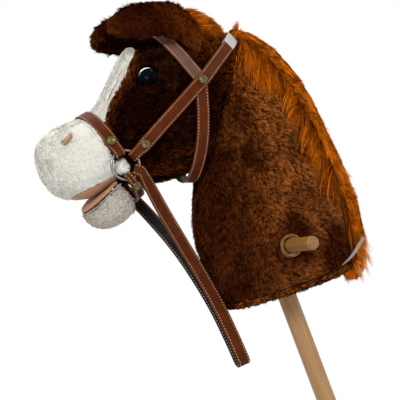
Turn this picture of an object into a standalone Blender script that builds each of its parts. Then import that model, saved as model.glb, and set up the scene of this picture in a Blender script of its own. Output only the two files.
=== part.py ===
"""Plush hobby horse: a stuffed horse's head on a wooden stick, with a stitched bridle and reins.

The stick stands along Z with its foot at the origin. The horse faces -X and its left side is -Y.
Heights called "above the neck's base" start at a level just below the plush.
"""

import math
from collections import namedtuple

import bmesh
import bpy
from mathutils import Matrix, Vector
from mathutils.bvhtree import BVHTree

NAME = "hobby_horse"
GAP = 0.0003  # between pieces that touch
FAR = 0.6  # size of the blocks that cut along a plane
WELD = 0.00001  # corners closer than this are one

# Wooden stick and the cross peg through it
STICK_DIAMETER = 0.022
STICK_BELOW = 0.565  # up to the level that heights on the neck start from
STICK_INSIDE = 0.250  # above that level
STICK_CHAMFER = 0.002
PEG_DIAMETER = 0.0155
PEG_LENGTH = 0.240
PEG_HEIGHT = 0.067  # above the neck's base
PEG_ROUND = 0.0025

# Plush covers and their filling. A section is cut across the form: its centre, how far its depth
# axis leans up from the horse's back, and its half depth and half width.
Section = namedtuple("Section", "x z lean depth width")
COVER = 0.003
OUTER_SIDES = 12  # cage points round a form, which subdivision doubles
INNER_SIDES = 8
NECK_SECTIONS = (
    Section(0.004, -0.040, 0, 0.072, 0.055),
    Section(0.007, -0.004, 0, 0.077, 0.059),
    Section(0.009, 0.045, 0, 0.090, 0.065),
    Section(0.010, 0.105, 2, 0.095, 0.066),
    Section(0.016, 0.165, 8, 0.084, 0.061),
    Section(0.024, 0.215, 18, 0.070, 0.056),
    Section(0.018, 0.262, 32, 0.060, 0.048),
    Section(-0.003, 0.292, 50, 0.050, 0.037),
    Section(-0.022, 0.308, 65, 0.030, 0.028),
)
HEAD_SECTIONS = (
    Section(0.032, 0.294, 90, 0.020, 0.022),
    Section(0.008, 0.286, 90, 0.052, 0.042),
    Section(-0.038, 0.268, 90, 0.086, 0.060),
    Section(-0.078, 0.266, 90, 0.084, 0.060),
    Section(-0.112, 0.252, 90, 0.066, 0.052),
    Section(-0.140, 0.245, 90, 0.045, 0.045),
    Section(-0.168, 0.243, 90, 0.039, 0.042),
    Section(-0.188, 0.243, 90, 0.036, 0.040),
)
HEAD_EGG = 0.16  # how much narrower the forehead is than the cheeks
SEAM_THROAT = (-0.062, 0.168)  # the seam between head and neck runs from the throat
SEAM_CREST = (0.050, 0.318)  # to the crest
BASE_RISE = 0.0125  # of the plush's underside round the stick
BASE_LEAN = 3.5  # how far the underside rises toward the horse's front, in degrees
BAND_HEIGHT = 0.010  # the base panel's side band

# White muzzle, lip and lower jaw
MUZZLE_SECTIONS = (
    Section(-0.132, 0.243, 90, 0.038, 0.046),
    Section(-0.158, 0.244, 90, 0.045, 0.051),
    Section(-0.186, 0.242, 90, 0.048, 0.054),
    Section(-0.212, 0.245, 90, 0.040, 0.046),
    Section(-0.228, 0.247, 90, 0.022, 0.026),
)
LIP_CORNER = (-0.150, 0.213)  # white plush meets the peach lip lining from the mouth's corner
LIP_FRONT = (-0.216, 0.205)
LIP_STEP = 0.0015  # the lining lies this far inside the plush
JAW_CENTRE = (-0.163, 0.186)
JAW_HALF = (0.036, 0.038, 0.029)  # along, across and deep
JAW_LEAN = 20
JAW_TOP_BACK = (-0.150, 0.209)
JAW_TOP_FRONT = (-0.196, 0.189)
JAW_LINING = 0.003
NOSTRIL_PLACE = (-0.195, 0.268)
NOSTRIL_HALF = (0.0085, 0.0030, 0.0020)
NOSTRIL_LEAN = 35

# White blaze down the forehead
BLAZE_TOP = (-0.088, 0.350)
BLAZE_FOOT = (-0.150, 0.283)
BLAZE_HALF_WIDTH = 0.019
BLAZE_REACH = 0.025  # deeper than the forehead's hollow and its cover

# Ears: a furry flap that points forward, and its short-napped lining
Ring = namedtuple("Ring", "x y z tall thick tilt")
EAR_RINGS = (  # tilt leans the flap's upper edge in toward the crown
    Ring(0.003, -0.032, 0.324, 0.018, 0.0050, 6),
    Ring(-0.014, -0.038, 0.341, 0.034, 0.0078, 10),
    Ring(-0.036, -0.043, 0.356, 0.022, 0.0070, 20),
    Ring(-0.060, -0.046, 0.362, 0.023, 0.0062, 28),
    Ring(-0.080, -0.045, 0.366, 0.020, 0.0057, 28),
    Ring(-0.094, -0.041, 0.365, 0.0135, 0.0050, 28),
    Ring(-0.102, -0.037, 0.364, 0.007, 0.0038, 28),
    Ring(-0.105, -0.036, 0.364, 0.003, 0.0025, 28),
)
EAR_LINING_FROM = -0.024
EAR_HEM = 0.0045  # the flap's rim round its lining
EAR_HOLLOW = 0.005  # the lining lies this far toward the flap's hollow side

# Safety eyes with lock washers
EYE_PLACE = (-0.084, 0.303)
EYE_DIAMETER = 0.023
EYE_HEIGHT = 0.0065
EYE_SINK = 0.0012
EYE_STEM_DIAMETER = 0.005
EYE_STEM = 0.012
WASHER_DIAMETER = 0.015
WASHER_THICKNESS = 0.0012
WASHER_DEPTH = 0.0046  # below the plush's surface

# Mane, its woven tape and the forelock
CREST_SECTIONS = (
    Section(0.063, 0.305, 55, 0.012, 0.011),
    Section(0.078, 0.276, 38, 0.019, 0.017),
    Section(0.092, 0.236, 22, 0.021, 0.020),
    Section(0.100, 0.190, 8, 0.020, 0.021),
    Section(0.104, 0.140, 0, 0.021, 0.021),
    Section(0.104, 0.090, -4, 0.024, 0.020),
    Section(0.099, 0.042, -10, 0.023, 0.018),
    Section(0.092, 0.010, -16, 0.019, 0.015),
    Section(0.087, -0.006, -18, 0.007, 0.007),
)
LOCKS = 8  # outward waves along the mane
LOCK_DEPTH = 0.14
TAPE_HALF_WIDTH = 0.013
TAPE_THICKNESS = 0.001
TAPE_TOP = 0.296
TAPE_FOOT = 0.020
FORELOCK_SECTIONS = (
    Section(0.034, 0.320, 60, 0.008, 0.010),
    Section(0.018, 0.337, 75, 0.014, 0.018),
    Section(0.000, 0.346, 85, 0.017, 0.022),
    Section(-0.022, 0.352, 92, 0.015, 0.020),
    Section(-0.038, 0.353, 95, 0.007, 0.011),
)

# Bound edge of the cover's hole round the peg
BINDING_RADIUS = 0.0118
BINDING_THICKNESS = 0.0036

# Bridle
STRAP_WIDTH = 0.015
STRAP = 0.0016  # thickness
STRAP_OFF = 0.0008  # from the plush, or the strap below, to a strap
STRAP_STEP = 0.006  # between the places along a strap
REACH = 0.2  # rays come in toward the head from this far out
FOLD_GAP = 0.0004  # between the two layers of a folded end
RING_PLACE = (-0.1465, 0.219)
RING_OUT = 0.051  # each ring's plane from the middle
RING_RADIUS = 0.016
RING_WIRE = 0.003
JUNCTION = (-0.0302, 0.277)
NOSEBAND_ANGLE = 99
BROWBAND_ANGLE = 103
THROAT_ANGLE = -109
CHIN_ANGLE = -70
CHIN_OFFSET = -0.006
CHIN_WIDTH = 0.012
CHIN_FOLD_WIDTH = 0.009
CHIN_ROUTE = (  # distance below the ring's centre, and how far in from the ring's plane
    (0.006, 0.0020),
    (0.020, 0.0025),
    (0.030, 0.0060),
    (0.037, 0.0160),
    (0.040, 0.0310),
    (0.041, 0.0510),
)
REIN_ANGLE = -43
FOLD_BACK = 0.038  # a folded end reaches back this far from the ring's centre
CHIN_FOLD_BACK = 0.032
FOLD_DROP = 0.012  # the strap comes down to the plush over this length past its folded end
RING_STRAP_WIDTH = 0.0125  # of the straps where they go round a ring
FOLD_ROWS = 6  # steps along each layer of a folded end
FOLD_STEPS = 6  # steps round the wire
FOLDED = 2 * FOLD_ROWS + FOLD_STEPS  # number of the last place of a folded end
RIVET_AT = 0.0305
CHIN_RIVET_AT = 0.0255
CROWN_END = 0.193  # the cheek strap's leather ends here, from the ring's centre
ELASTIC = 0.0012
ELASTIC_LAP = 0.008
THROAT_SLACK = 0.005  # the throat lash hangs this far below the throat
THROAT_SLACK_OUT = 0.045
PAST_RIVET = 0.0065
SEAT = STRAP_OFF + STRAP / 2  # from the plush to a strap's middle

# Rivets
RIVET_CAP = 0.0100
RIVET_DOME = 0.0020
RIVET_SHANK = 0.0030
RIVET_BACK = 0.0070
RIVET_BACK_THICKNESS = 0.0007
RIVET_SIDES = 12
RIVET_REACH = 0.012  # deeper than any stack of straps

# Reins: places that the left strap passes, as distance back, out and above the neck's base
REIN_THICKNESS = 0.0020
REIN_ROUTE = (
    (-0.1265, 0.0430, 0.188),
    (-0.1165, 0.0270, 0.156),
    (-0.1040, 0.0140, 0.112),
    (-0.0945, 0.0095, 0.070),
    (-0.0875, 0.0075, 0.028),
    (-0.0840, 0.0068, -0.010),
    (-0.0822, 0.0065, -0.040),
)
REIN_FOOT_RADIUS = 0.0065
REIN_STEP = 0.008
REIN_START = 3  # places before the strap leaves the ring's plane

BROWN = (0.115, 0.035, 0.015)
LEATHER = (0.150, 0.045, 0.020)
WHITE = (0.780, 0.750, 0.710)
PEACH = (0.620, 0.330, 0.190)
WOOD = (0.560, 0.380, 0.200)
GINGER = (0.400, 0.110, 0.025)
BRASS = (0.300, 0.240, 0.090)

parts = None
cutters = None


def up(z):
    """Height in the model of a height above the neck's base."""
    return STICK_BELOW + z


def side(place, out=0.0):
    """The point at a place given as distance back and height above the neck's base."""
    return Vector((place[0], -out, up(place[1])))


def smooth_step(t):
    t = min(max(t, 0.0), 1.0)
    return t * t * (3.0 - 2.0 * t)


def start_scene():
    """Clear the scene and make the two collections."""
    global parts, cutters
    for old in list(bpy.data.objects):
        bpy.data.objects.remove(old)
    parts = bpy.data.collections.new(NAME)
    cutters = bpy.data.collections.new("cutters")
    bpy.context.scene.collection.children.link(parts)
    bpy.context.scene.collection.children.link(cutters)


def material(name, colour, roughness, metallic=0.0):
    made = bpy.data.materials.new(name)
    made.use_nodes = True
    shader = made.node_tree.nodes["Principled BSDF"]
    shader.inputs["Base Color"].default_value = (*colour, 1.0)
    shader.inputs["Roughness"].default_value = roughness
    shader.inputs["Metallic"].default_value = metallic
    return made


def link(name, mesh, collection=None):
    made = bpy.data.objects.new(name, mesh)
    (collection or parts).objects.link(made)
    return made


def hide(made):
    """Mark an object as a cutter or a guide."""
    made.hide_render = True
    made.display_type = "WIRE"
    return made


def cutter_from(name, mesh):
    return hide(link(name, mesh, cutters))


def mesh_from(name, bm):
    """A mesh with its faces turned outward."""
    bmesh.ops.recalc_face_normals(bm, faces=bm.faces)
    mesh = bpy.data.meshes.new(name)
    bm.to_mesh(mesh)
    bm.free()
    return mesh


def settle(made):
    """Turn an object's modifiers into mesh."""
    bpy.context.view_layer.update()
    graph = bpy.context.evaluated_depsgraph_get()
    mesh = bpy.data.meshes.new_from_object(made.evaluated_get(graph))
    made.modifiers.clear()
    made.data = mesh
    return made


def combine(made, other, operation="DIFFERENCE"):
    """Cut one object by another, or join or intersect them."""
    boolean = made.modifiers.new(operation.title(), "BOOLEAN")
    boolean.operation = operation
    boolean.solver = "EXACT"
    boolean.object = other
    return settle(made)


def copy_of(made, name, collection=None):
    again = link(name, made.data.copy(), collection)
    again.matrix_world = made.matrix_world
    if collection is cutters:
        hide(again)
    return again


def finish(made, look, smooth=40):
    """Give a part its material and smooth shading up to an edge angle in degrees."""
    bm = bmesh.new()
    bm.from_mesh(made.data)
    bmesh.ops.remove_doubles(bm, verts=bm.verts, dist=WELD)
    bm.to_mesh(made.data)
    bm.free()
    made.data.materials.clear()
    made.data.materials.append(look)
    for face in made.data.polygons:
        face.material_index = 0
    made.data.shade_smooth()
    made.data.set_sharp_from_angle(angle=math.radians(smooth))
    return made


def mirrored(made, name):
    """The right-hand copy of a left-hand part."""
    mesh = made.data.copy()
    mesh.transform(Matrix.Scale(-1.0, 4, (0.0, 1.0, 0.0)) @ made.matrix_world)
    mesh.flip_normals()
    return link(name, mesh)


def cylinder(name, diameter, length, sides=24):
    """A cylinder along Z, centred on its origin."""
    bm = bmesh.new()
    bmesh.ops.create_cone(
        bm,
        cap_ends=True,
        segments=sides,
        radius1=diameter / 2,
        radius2=diameter / 2,
        depth=length,
    )
    return mesh_from(name, bm)


def block(name, low, high):
    """A box between two corners."""
    bm = bmesh.new()
    bmesh.ops.create_cube(bm, size=1.0)
    size = Vector(high) - Vector(low)
    bmesh.ops.scale(bm, vec=size, verts=bm.verts)
    bmesh.ops.translate(bm, vec=(Vector(high) + Vector(low)) / 2, verts=bm.verts)
    return cutter_from(name, mesh_from(name, bm))


def half_space(name, point, away):
    """A block whose face passes through a point and whose bulk lies the way that away points."""
    bm = bmesh.new()
    bmesh.ops.create_cube(bm, size=FAR)
    bmesh.ops.translate(bm, vec=(0.0, 0.0, FAR / 2), verts=bm.verts)
    turn = Vector(away).to_track_quat("Z", "Y").to_matrix().to_4x4()
    bmesh.ops.transform(bm, matrix=Matrix.Translation(point) @ turn, verts=bm.verts)
    return cutter_from(name, mesh_from(name, bm))


def turned(name, profile, sides=32):
    """A solid turned about Z from a profile of (radius, height), top to bottom."""
    bm = bmesh.new()
    corners = [bm.verts.new((radius, 0.0, height)) for radius, height in profile]
    for first, second in zip(corners, corners[1:]):
        bm.edges.new((first, second))
    mesh = bpy.data.meshes.new(name)
    bm.to_mesh(mesh)
    bm.free()
    made = link(name, mesh, cutters)
    screw = made.modifiers.new("Screw", "SCREW")
    screw.steps = sides
    screw.render_steps = sides
    screw.use_merge_vertices = True
    screw.merge_threshold = WELD
    settle(made)
    mesh = made.data
    bpy.data.objects.remove(made)
    bm = bmesh.new()
    bm.from_mesh(mesh)
    return mesh_from(name, bm)


def torus(radius, wire, rounds, sides):
    """The mesh of a ring of round wire about Z."""
    bpy.ops.mesh.primitive_torus_add(
        major_radius=radius,
        minor_radius=wire / 2,
        major_segments=rounds,
        minor_segments=sides,
    )
    made = bpy.context.object
    mesh = made.data
    bpy.data.objects.remove(made)
    return mesh


def stand(mesh, point, direction):
    """Move a mesh so that its Z axis points the given way from a point."""
    turn = Vector(direction).to_track_quat("Z", "Y").to_matrix().to_4x4()
    mesh.transform(Matrix.Translation(point) @ turn)
    return mesh


def swell(sides):
    """How much a ring of cage points must exceed the smooth ring that it makes."""
    return 6.0 / (4.0 + 2.0 * math.cos(2.0 * math.pi / sides))


def loft(name, rings):
    """A closed form through rings of points, rounded by subdivision."""
    bm = bmesh.new()
    loops = [[bm.verts.new(point) for point in ring] for ring in rings]
    for first, second in zip(loops, loops[1:]):
        for i in range(len(first)):
            j = (i + 1) % len(first)
            bm.faces.new((first[i], first[j], second[j], second[i]))
    bm.faces.new(reversed(loops[0]))
    bm.faces.new(loops[-1])
    made = link(name, mesh_from(name, bm), cutters)
    rounded = made.modifiers.new("Rounding", "SUBSURF")
    rounded.levels = 1
    rounded.render_levels = 1
    return hide(settle(made))


def stuffed(name, sections, inset=0.0, egg=0.0, sides=OUTER_SIDES):
    """A stuffed form through sections, drawn in by an inset."""
    rings = []
    spread = swell(sides)
    for n, section in enumerate(sections):
        lean = math.radians(section.lean)
        centre = side((section.x, section.z))
        if n in (0, len(sections) - 1):
            inner = sections[1] if n == 0 else sections[-2]
            centre += (side((inner.x, inner.z)) - centre).normalized() * inset
        back = Vector((math.cos(lean), 0.0, math.sin(lean)))
        depth = max(section.depth - inset, 0.0005) * spread
        width = max(section.width - inset, 0.0005) * spread
        ring = []
        for i in range(sides):
            turn = 2.0 * math.pi * i / sides
            across = width * math.sin(turn) * (1.0 - egg * math.cos(turn))
            ring.append(centre + back * depth * math.cos(turn) + Vector((0.0, across, 0.0)))
        rings.append(ring)
    return loft(name, rings)


def neck_form(name, inset, sides=OUTER_SIDES):
    return stuffed(name, NECK_SECTIONS, inset, sides=sides)


def head_form(name, inset, sides=OUTER_SIDES):
    return stuffed(name, HEAD_SECTIONS, inset, egg=HEAD_EGG, sides=sides)


def nose_plane():
    """A point on the flat end of the head in front of the noseband, and the way forward."""
    turn = math.radians(NOSEBAND_ANGLE)
    forward = Vector((-math.sin(turn), 0.0, math.cos(turn)))
    return side(RING_PLACE) + forward * (STRAP_WIDTH / 2 + GAP), forward


def base_plane(height):
    """A point this far above the plush's underside, and the way up from it."""
    lean = math.radians(BASE_LEAN)
    away = Vector((math.sin(lean), 0.0, math.cos(lean)))
    return side((0.0, BASE_RISE)) + away * height, away


def whole_form(name, inset, sides=OUTER_SIDES):
    """Head and neck as one form, cut flat at the base and at the end of the head."""
    whole = neck_form(name, inset, sides)
    combine(whole, head_form(name + "_head", inset, sides), "UNION")
    combine(whole, half_space(name + "_base", *base_plane(inset)), "INTERSECT")
    point, forward = nose_plane()
    end = half_space(name + "_end", point - forward * (inset + GAP), -forward)
    return combine(whole, end, "INTERSECT")


def seam():
    """A point on the seam between head and neck, and the way toward the neck."""
    low = side(SEAM_THROAT)
    along = side(SEAM_CREST) - low
    return low, Vector((along.z, 0.0, -along.x)).normalized()


class Slab:
    """The plane across the head in which a strap lies.

    A place in it is (a, b): a runs along the strap's line from its start, b runs out to the left.
    """

    def __init__(self, start, angle, offset=0.0):
        turn = math.radians(angle)
        self.along = Vector((math.cos(turn), 0.0, math.sin(turn)))
        self.across = Vector((-math.sin(turn), 0.0, math.cos(turn)))
        self.start = side(start) + self.across * offset

    def point(self, a, b):
        return self.start + self.along * a + Vector((0.0, -b, 0.0))

    def inside(self):
        """Distance along the plane to the head's nearest section."""
        centres = [side((section.x, section.z)) - self.start for section in HEAD_SECTIONS]
        return min(centres, key=lambda centre: abs(centre.dot(self.across))).dot(self.along)

    def outline(self, trees, width):
        """The strap's own line round all that lies below it, from the far top, (a, 0), down the left.

        It's the convex line round five parallel cuts, since a strap bridges hollows.
        """
        middle = self.inside()
        found = []
        for step in range(0, 241, 2):
            turn = math.pi * step / 240
            ray = self.along * math.cos(turn) + Vector((0.0, -math.sin(turn), 0.0))
            reach = 0.0
            for share in (-0.5, -0.25, 0.0, 0.25, 0.5):
                origin = self.point(middle, 0.0) + self.across * width * share + ray * REACH
                for tree in trees:
                    hit = tree.ray_cast(origin, -ray, REACH)
                    if hit[0] is not None:
                        reach = max(reach, REACH - hit[3])
            found.append((middle + reach * math.cos(turn), reach * math.sin(turn)))
        hull = []
        for spot in [(a, -b) for a, b in reversed(found[1:-1])] + found:
            while len(hull) > 1 and turns_in(hull[-2], hull[-1], spot):
                hull.pop()
            hull.append(spot)
        left = [spot for spot in hull if spot[1] > STRAP_STEP / 4]
        left = [(left[0][0], 0.0)] + left + [(left[-1][0], 0.0)]
        line = even(left, STRAP_STEP)
        return lifted(line, [short_of(line, n, hull) for n in range(len(line))])


def outward(line, n):
    """The way out from the form at a place of a line that runs from the far top down the left."""
    if abs(line[n][1]) < WELD:
        return (1.0 if n == 0 else -1.0, 0.0)
    before = line[max(n - 1, 0)]
    after = line[min(n + 1, len(line) - 1)]
    run = math.dist(before, after)
    return ((after[1] - before[1]) / run, -(after[0] - before[0]) / run)


def short_of(line, n, hull):
    """How far a place of an eased line lies inside the corners of the hull beside it."""
    out = outward(line, n)
    short = 0.0
    for spot in hull:
        if math.dist(spot, line[n]) < 1.5 * STRAP_STEP:
            short = max(short, (spot[0] - line[n][0]) * out[0] + (spot[1] - line[n][1]) * out[1])
    return short


def turns_in(first, second, third):
    """Whether a line with increasing angle bends inward at its middle point."""
    one = (second[0] - first[0], second[1] - first[1])
    two = (third[0] - second[0], third[1] - second[1])
    return one[0] * two[1] - one[1] * two[0] <= 0.0


def lengths(line):
    total = [0.0]
    for first, second in zip(line, line[1:]):
        total.append(total[-1] + math.dist(first, second))
    return total


def even(line, step):
    """The same line with even steps and its corners eased."""
    run = lengths(line)
    count = max(2, round(run[-1] / step))
    spots = [at(line, run, run[-1] * n / count) for n in range(count + 1)]
    for _ in range(2):
        eased = [
            tuple((p + 2.0 * q + r) / 4.0 for p, q, r in zip(*three))
            for three in zip(spots, spots[1:], spots[2:])
        ]
        spots = [spots[0]] + eased + [spots[-1]]
    return spots


def at(line, run, distance):
    """The place on a line at a distance along it."""
    distance = min(max(distance, 0.0), run[-1])
    for n in range(1, len(line)):
        if distance <= run[n]:
            part = (distance - run[n - 1]) / max(run[n] - run[n - 1], 1e-12)
            return tuple(p + (q - p) * part for p, q in zip(line[n - 1], line[n]))
    return line[-1]


def lifted(line, heights):
    """A line moved out from the form by a height at each of its points."""
    result = []
    for n, (spot, height) in enumerate(zip(line, heights)):
        out = outward(line, n)
        result.append((spot[0] + out[0] * height, spot[1] + out[1] * height))
    return result


def out_at(line, a):
    """How far out a side line lies at a distance along the strap's plane."""
    for first, second in zip(line, line[1:]):
        if min(first[0], second[0]) <= a <= max(first[0], second[0]):
            part = (a - first[0]) / ((second[0] - first[0]) or 1.0)
            return first[1] + (second[1] - first[1]) * part
    return line[-1][1]


def fold_place(widest):
    """Distance from the ring's centre to the bend of a strap that reaches so far to the side."""
    inside = RING_RADIUS - RING_WIRE / 2 - GAP
    return math.sqrt(inside**2 - widest**2) + RING_WIRE / 2


def folded_end(line, fold_width, offset, back, rivet_at):
    """The line of a strap's end that is folded round its ring and riveted back on itself.

    It starts at the end of the inner layer, goes round the wire and comes back as the outer layer.
    """
    inner = SEAT
    outer = SEAT + STRAP + FOLD_GAP
    bend = RING_WIRE / 2 + GAP + STRAP / 2
    fold = fold_place(abs(offset) + fold_width / 2)
    clear = RING_RADIUS + RING_WIRE
    settled = rivet_at - RIVET_CAP / 2

    def layer(a, way, height):
        blend = smooth_step((a - clear) / (settled - clear))
        return (RING_OUT + way * bend) * (1.0 - blend) + (out_at(line, a) + height) * blend

    steps = [fold + (back - fold) * n / FOLD_ROWS for n in range(FOLD_ROWS + 1)]
    spots = [(a, layer(a, -1, inner)) for a in reversed(steps)]
    for n in range(1, FOLD_STEPS):
        turn = math.radians(-90.0 - 180.0 * n / FOLD_STEPS)
        spots.append((fold + bend * math.cos(turn), RING_OUT + bend * math.sin(turn)))
    spots += [(a, layer(a, 1, outer)) for a in steps]
    return spots


def ribbon(name, slab, line, width, thickness=STRAP, grow=0.0, collection=None):
    """A flat strap along a line in its slab. Its width may be a function of the place."""
    bm = bmesh.new()
    rows = []
    half = thickness / 2 + grow
    for n, spot in enumerate(line):
        before = Vector(line[max(n - 1, 0)])
        after = Vector(line[min(n + 1, len(line) - 1)])
        run = (after - before).normalized()
        out = Vector((run.y, -run.x))
        wide = (width(spot) if callable(width) else width) / 2 + grow
        end = run * grow * ((n == len(line) - 1) - (n == 0))
        row = []
        for shift, rise in ((-wide, -half), (wide, -half), (wide, half), (-wide, half)):
            a = spot[0] + out.x * rise + end.x
            b = spot[1] + out.y * rise + end.y
            row.append(bm.verts.new(slab.point(a, b) + slab.across * shift))
        rows.append(row)
    for first, second in zip(rows, rows[1:]):
        for i in range(4):
            j = (i + 1) % 4
            bm.faces.new((first[i], first[j], second[j], second[i]))
    bm.faces.new(rows[0])
    bm.faces.new(rows[-1])
    return link(name, mesh_from(name, bm), collection)


def ring_width(narrow, wide):
    """The width of a strap that is narrow where it goes round a ring, by its distance from there."""
    clear = RING_RADIUS + RING_WIRE
    return lambda spot: narrow + (wide - narrow) * smooth_step((spot[0] - clear) / FOLD_DROP)


def both_sides(line):
    """A left line that ends in the middle plane, carried on down the right."""
    return line + [(a, -b) for a, b in reversed(line[:-1])]


def nearest(line, a):
    """Number of the left outer place of a line that lies nearest to a distance along it."""
    chosen = [n for n, spot in enumerate(line) if spot[1] >= 0.0 and n > FOLDED - FOLD_ROWS]
    return min(chosen, key=lambda n: abs(line[n][0] - a))


def cut_at(line, a):
    """A line as far as the place after its fold where it passes a distance along its plane."""
    for n in range(FOLDED, len(line) - 1):
        first, second = line[n], line[n + 1]
        if first[0] <= a < second[0]:
            part = (a - first[0]) / (second[0] - first[0])
            end = tuple(p + (q - p) * part for p, q in zip(first, second))
            return line[: n + (part > 0.3)] + [end]
    return line


def rivet_mesh(name, grip):
    """A domed rivet whose cap sits on the straps, with its shank and back plate through them."""
    dome = [
        (RIVET_CAP / 2 * math.sin(t), GAP + RIVET_DOME * math.cos(t))
        for t in (math.pi / 2 * n / 3 for n in range(4))
    ]
    back = -grip - GAP
    profile = dome + [
        (RIVET_SHANK / 2, GAP),
        (RIVET_SHANK / 2, back),
        (RIVET_BACK / 2, back),
        (RIVET_BACK / 2, back - RIVET_BACK_THICKNESS),
        (0.0, back - RIVET_BACK_THICKNESS),
    ]
    return turned(name, profile, RIVET_SIDES)


class Rivet:
    """Where a rivet goes through its straps: the outer face's point, the way out and the grip."""

    def __init__(self, slab, line, number, lowest):
        before = Vector(line[number - 1])
        after = Vector(line[number + 1])
        run = (after - before).normalized()
        out = Vector((-run.y, run.x))
        here = Vector(line[number]) + out * STRAP / 2
        self.point = slab.point(here.x, here.y)
        self.out = (slab.along * out.x + Vector((0.0, -out.y, 0.0))).normalized()
        tree = tree_of(lowest.data)
        across = slab.across * RIVET_BACK / 2
        along = across.cross(self.out)
        self.grip = 0.0
        for step in (across * 0.0, across, along, -across, -along):
            hit = tree.ray_cast(self.point + step - self.out * RIVET_REACH, self.out)
            if hit[0] is not None:
                self.grip = max(self.grip, RIVET_REACH - hit[3])

    def bore(self, diameter, low, high):
        """A cylinder about the rivet, from a depth to a height beside the outer face."""
        mesh = cylinder("bore", diameter, high - low, RIVET_SIDES)
        middle = self.point + self.out * (high + low) / 2
        return cutter_from("bore", stand(mesh, middle, self.out))

    def mesh(self):
        return stand(rivet_mesh("rivet", self.grip), self.point, self.out)


def tree_of(mesh):
    bm = bmesh.new()
    bm.from_mesh(mesh)
    tree = BVHTree.FromBMesh(bm)
    bm.free()
    return tree


def mirrored_cutter(made):
    mesh = made.data.copy()
    mesh.transform(Matrix.Scale(-1.0, 4, (0.0, 1.0, 0.0)))
    mesh.flip_normals()
    return cutter_from(made.name + "_right", mesh)


def cut_both(made, cutter):
    """Cut a part by a left-hand cutter and by its mirror image."""
    combine(made, cutter)
    return combine(made, mirrored_cutter(cutter))


def ball(name, centre, half, lean, grow=0.0, sides=24):
    """An ellipsoid whose long axis leans down from the horse's front by an angle."""
    bm = bmesh.new()
    bmesh.ops.create_uvsphere(bm, u_segments=sides, v_segments=sides // 2, radius=1.0)
    size = [value + grow for value in half]
    bmesh.ops.scale(bm, vec=size, verts=bm.verts)
    turn = Matrix.Rotation(math.radians(-lean), 4, "Y")
    bmesh.ops.transform(bm, matrix=Matrix.Translation(centre) @ turn, verts=bm.verts)
    return cutter_from(name, mesh_from(name, bm))


def make_stick(look):
    """The dowel, chamfered at both ends, with the peg's cross hole."""
    length = STICK_BELOW + STICK_INSIDE
    radius = STICK_DIAMETER / 2
    edge = radius - STICK_CHAMFER
    profile = [
        (0.0, length),
        (edge, length),
        (radius, length - STICK_CHAMFER),
        (radius, STICK_CHAMFER),
        (edge, 0.0),
        (0.0, 0.0),
    ]
    stick = link("stick", turned("stick", profile, 36))
    hole = cylinder("peg_hole", PEG_DIAMETER + 2 * GAP, STICK_DIAMETER * 2)
    combine(stick, cutter_from("peg_hole", stand(hole, side((0.0, PEG_HEIGHT)), (0, 1, 0))))
    return finish(stick, look)


def make_peg(look):
    """The handle: a cross dowel with rounded ends."""
    radius = PEG_DIAMETER / 2
    half = PEG_LENGTH / 2
    turns = [math.pi / 2 * n / 3 for n in range(4)]
    top = [
        (radius - PEG_ROUND + PEG_ROUND * math.sin(t), half - PEG_ROUND + PEG_ROUND * math.cos(t))
        for t in turns
    ]
    foot = [(r, -z) for r, z in reversed(top)]
    profile = [(0.0, half)] + top + foot + [(0.0, -half)]
    mesh = stand(turned("handle_peg", profile, 24), side((0.0, PEG_HEIGHT)), (0, 1, 0))
    return finish(link("handle_peg", mesh), look)


def peg_bore(name, diameter):
    mesh = cylinder(name, diameter, PEG_LENGTH)
    return cutter_from(name, stand(mesh, side((0.0, PEG_HEIGHT)), (0, 1, 0)))


def make_bindings(look, tree):
    """The bound edges of the two holes in the neck's cover."""
    rest = tree.ray_cast(side((0.0, PEG_HEIGHT)), Vector((0.0, -1.0, 0.0)))[0]
    mesh = torus(BINDING_RADIUS, BINDING_THICKNESS, 24, 6)
    left = link("peg_binding_left", stand(mesh, rest, (0.0, -1.0, 0.0)))
    finish(left, look)
    return finish(mirrored(left, "peg_binding_right"), look)


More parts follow.
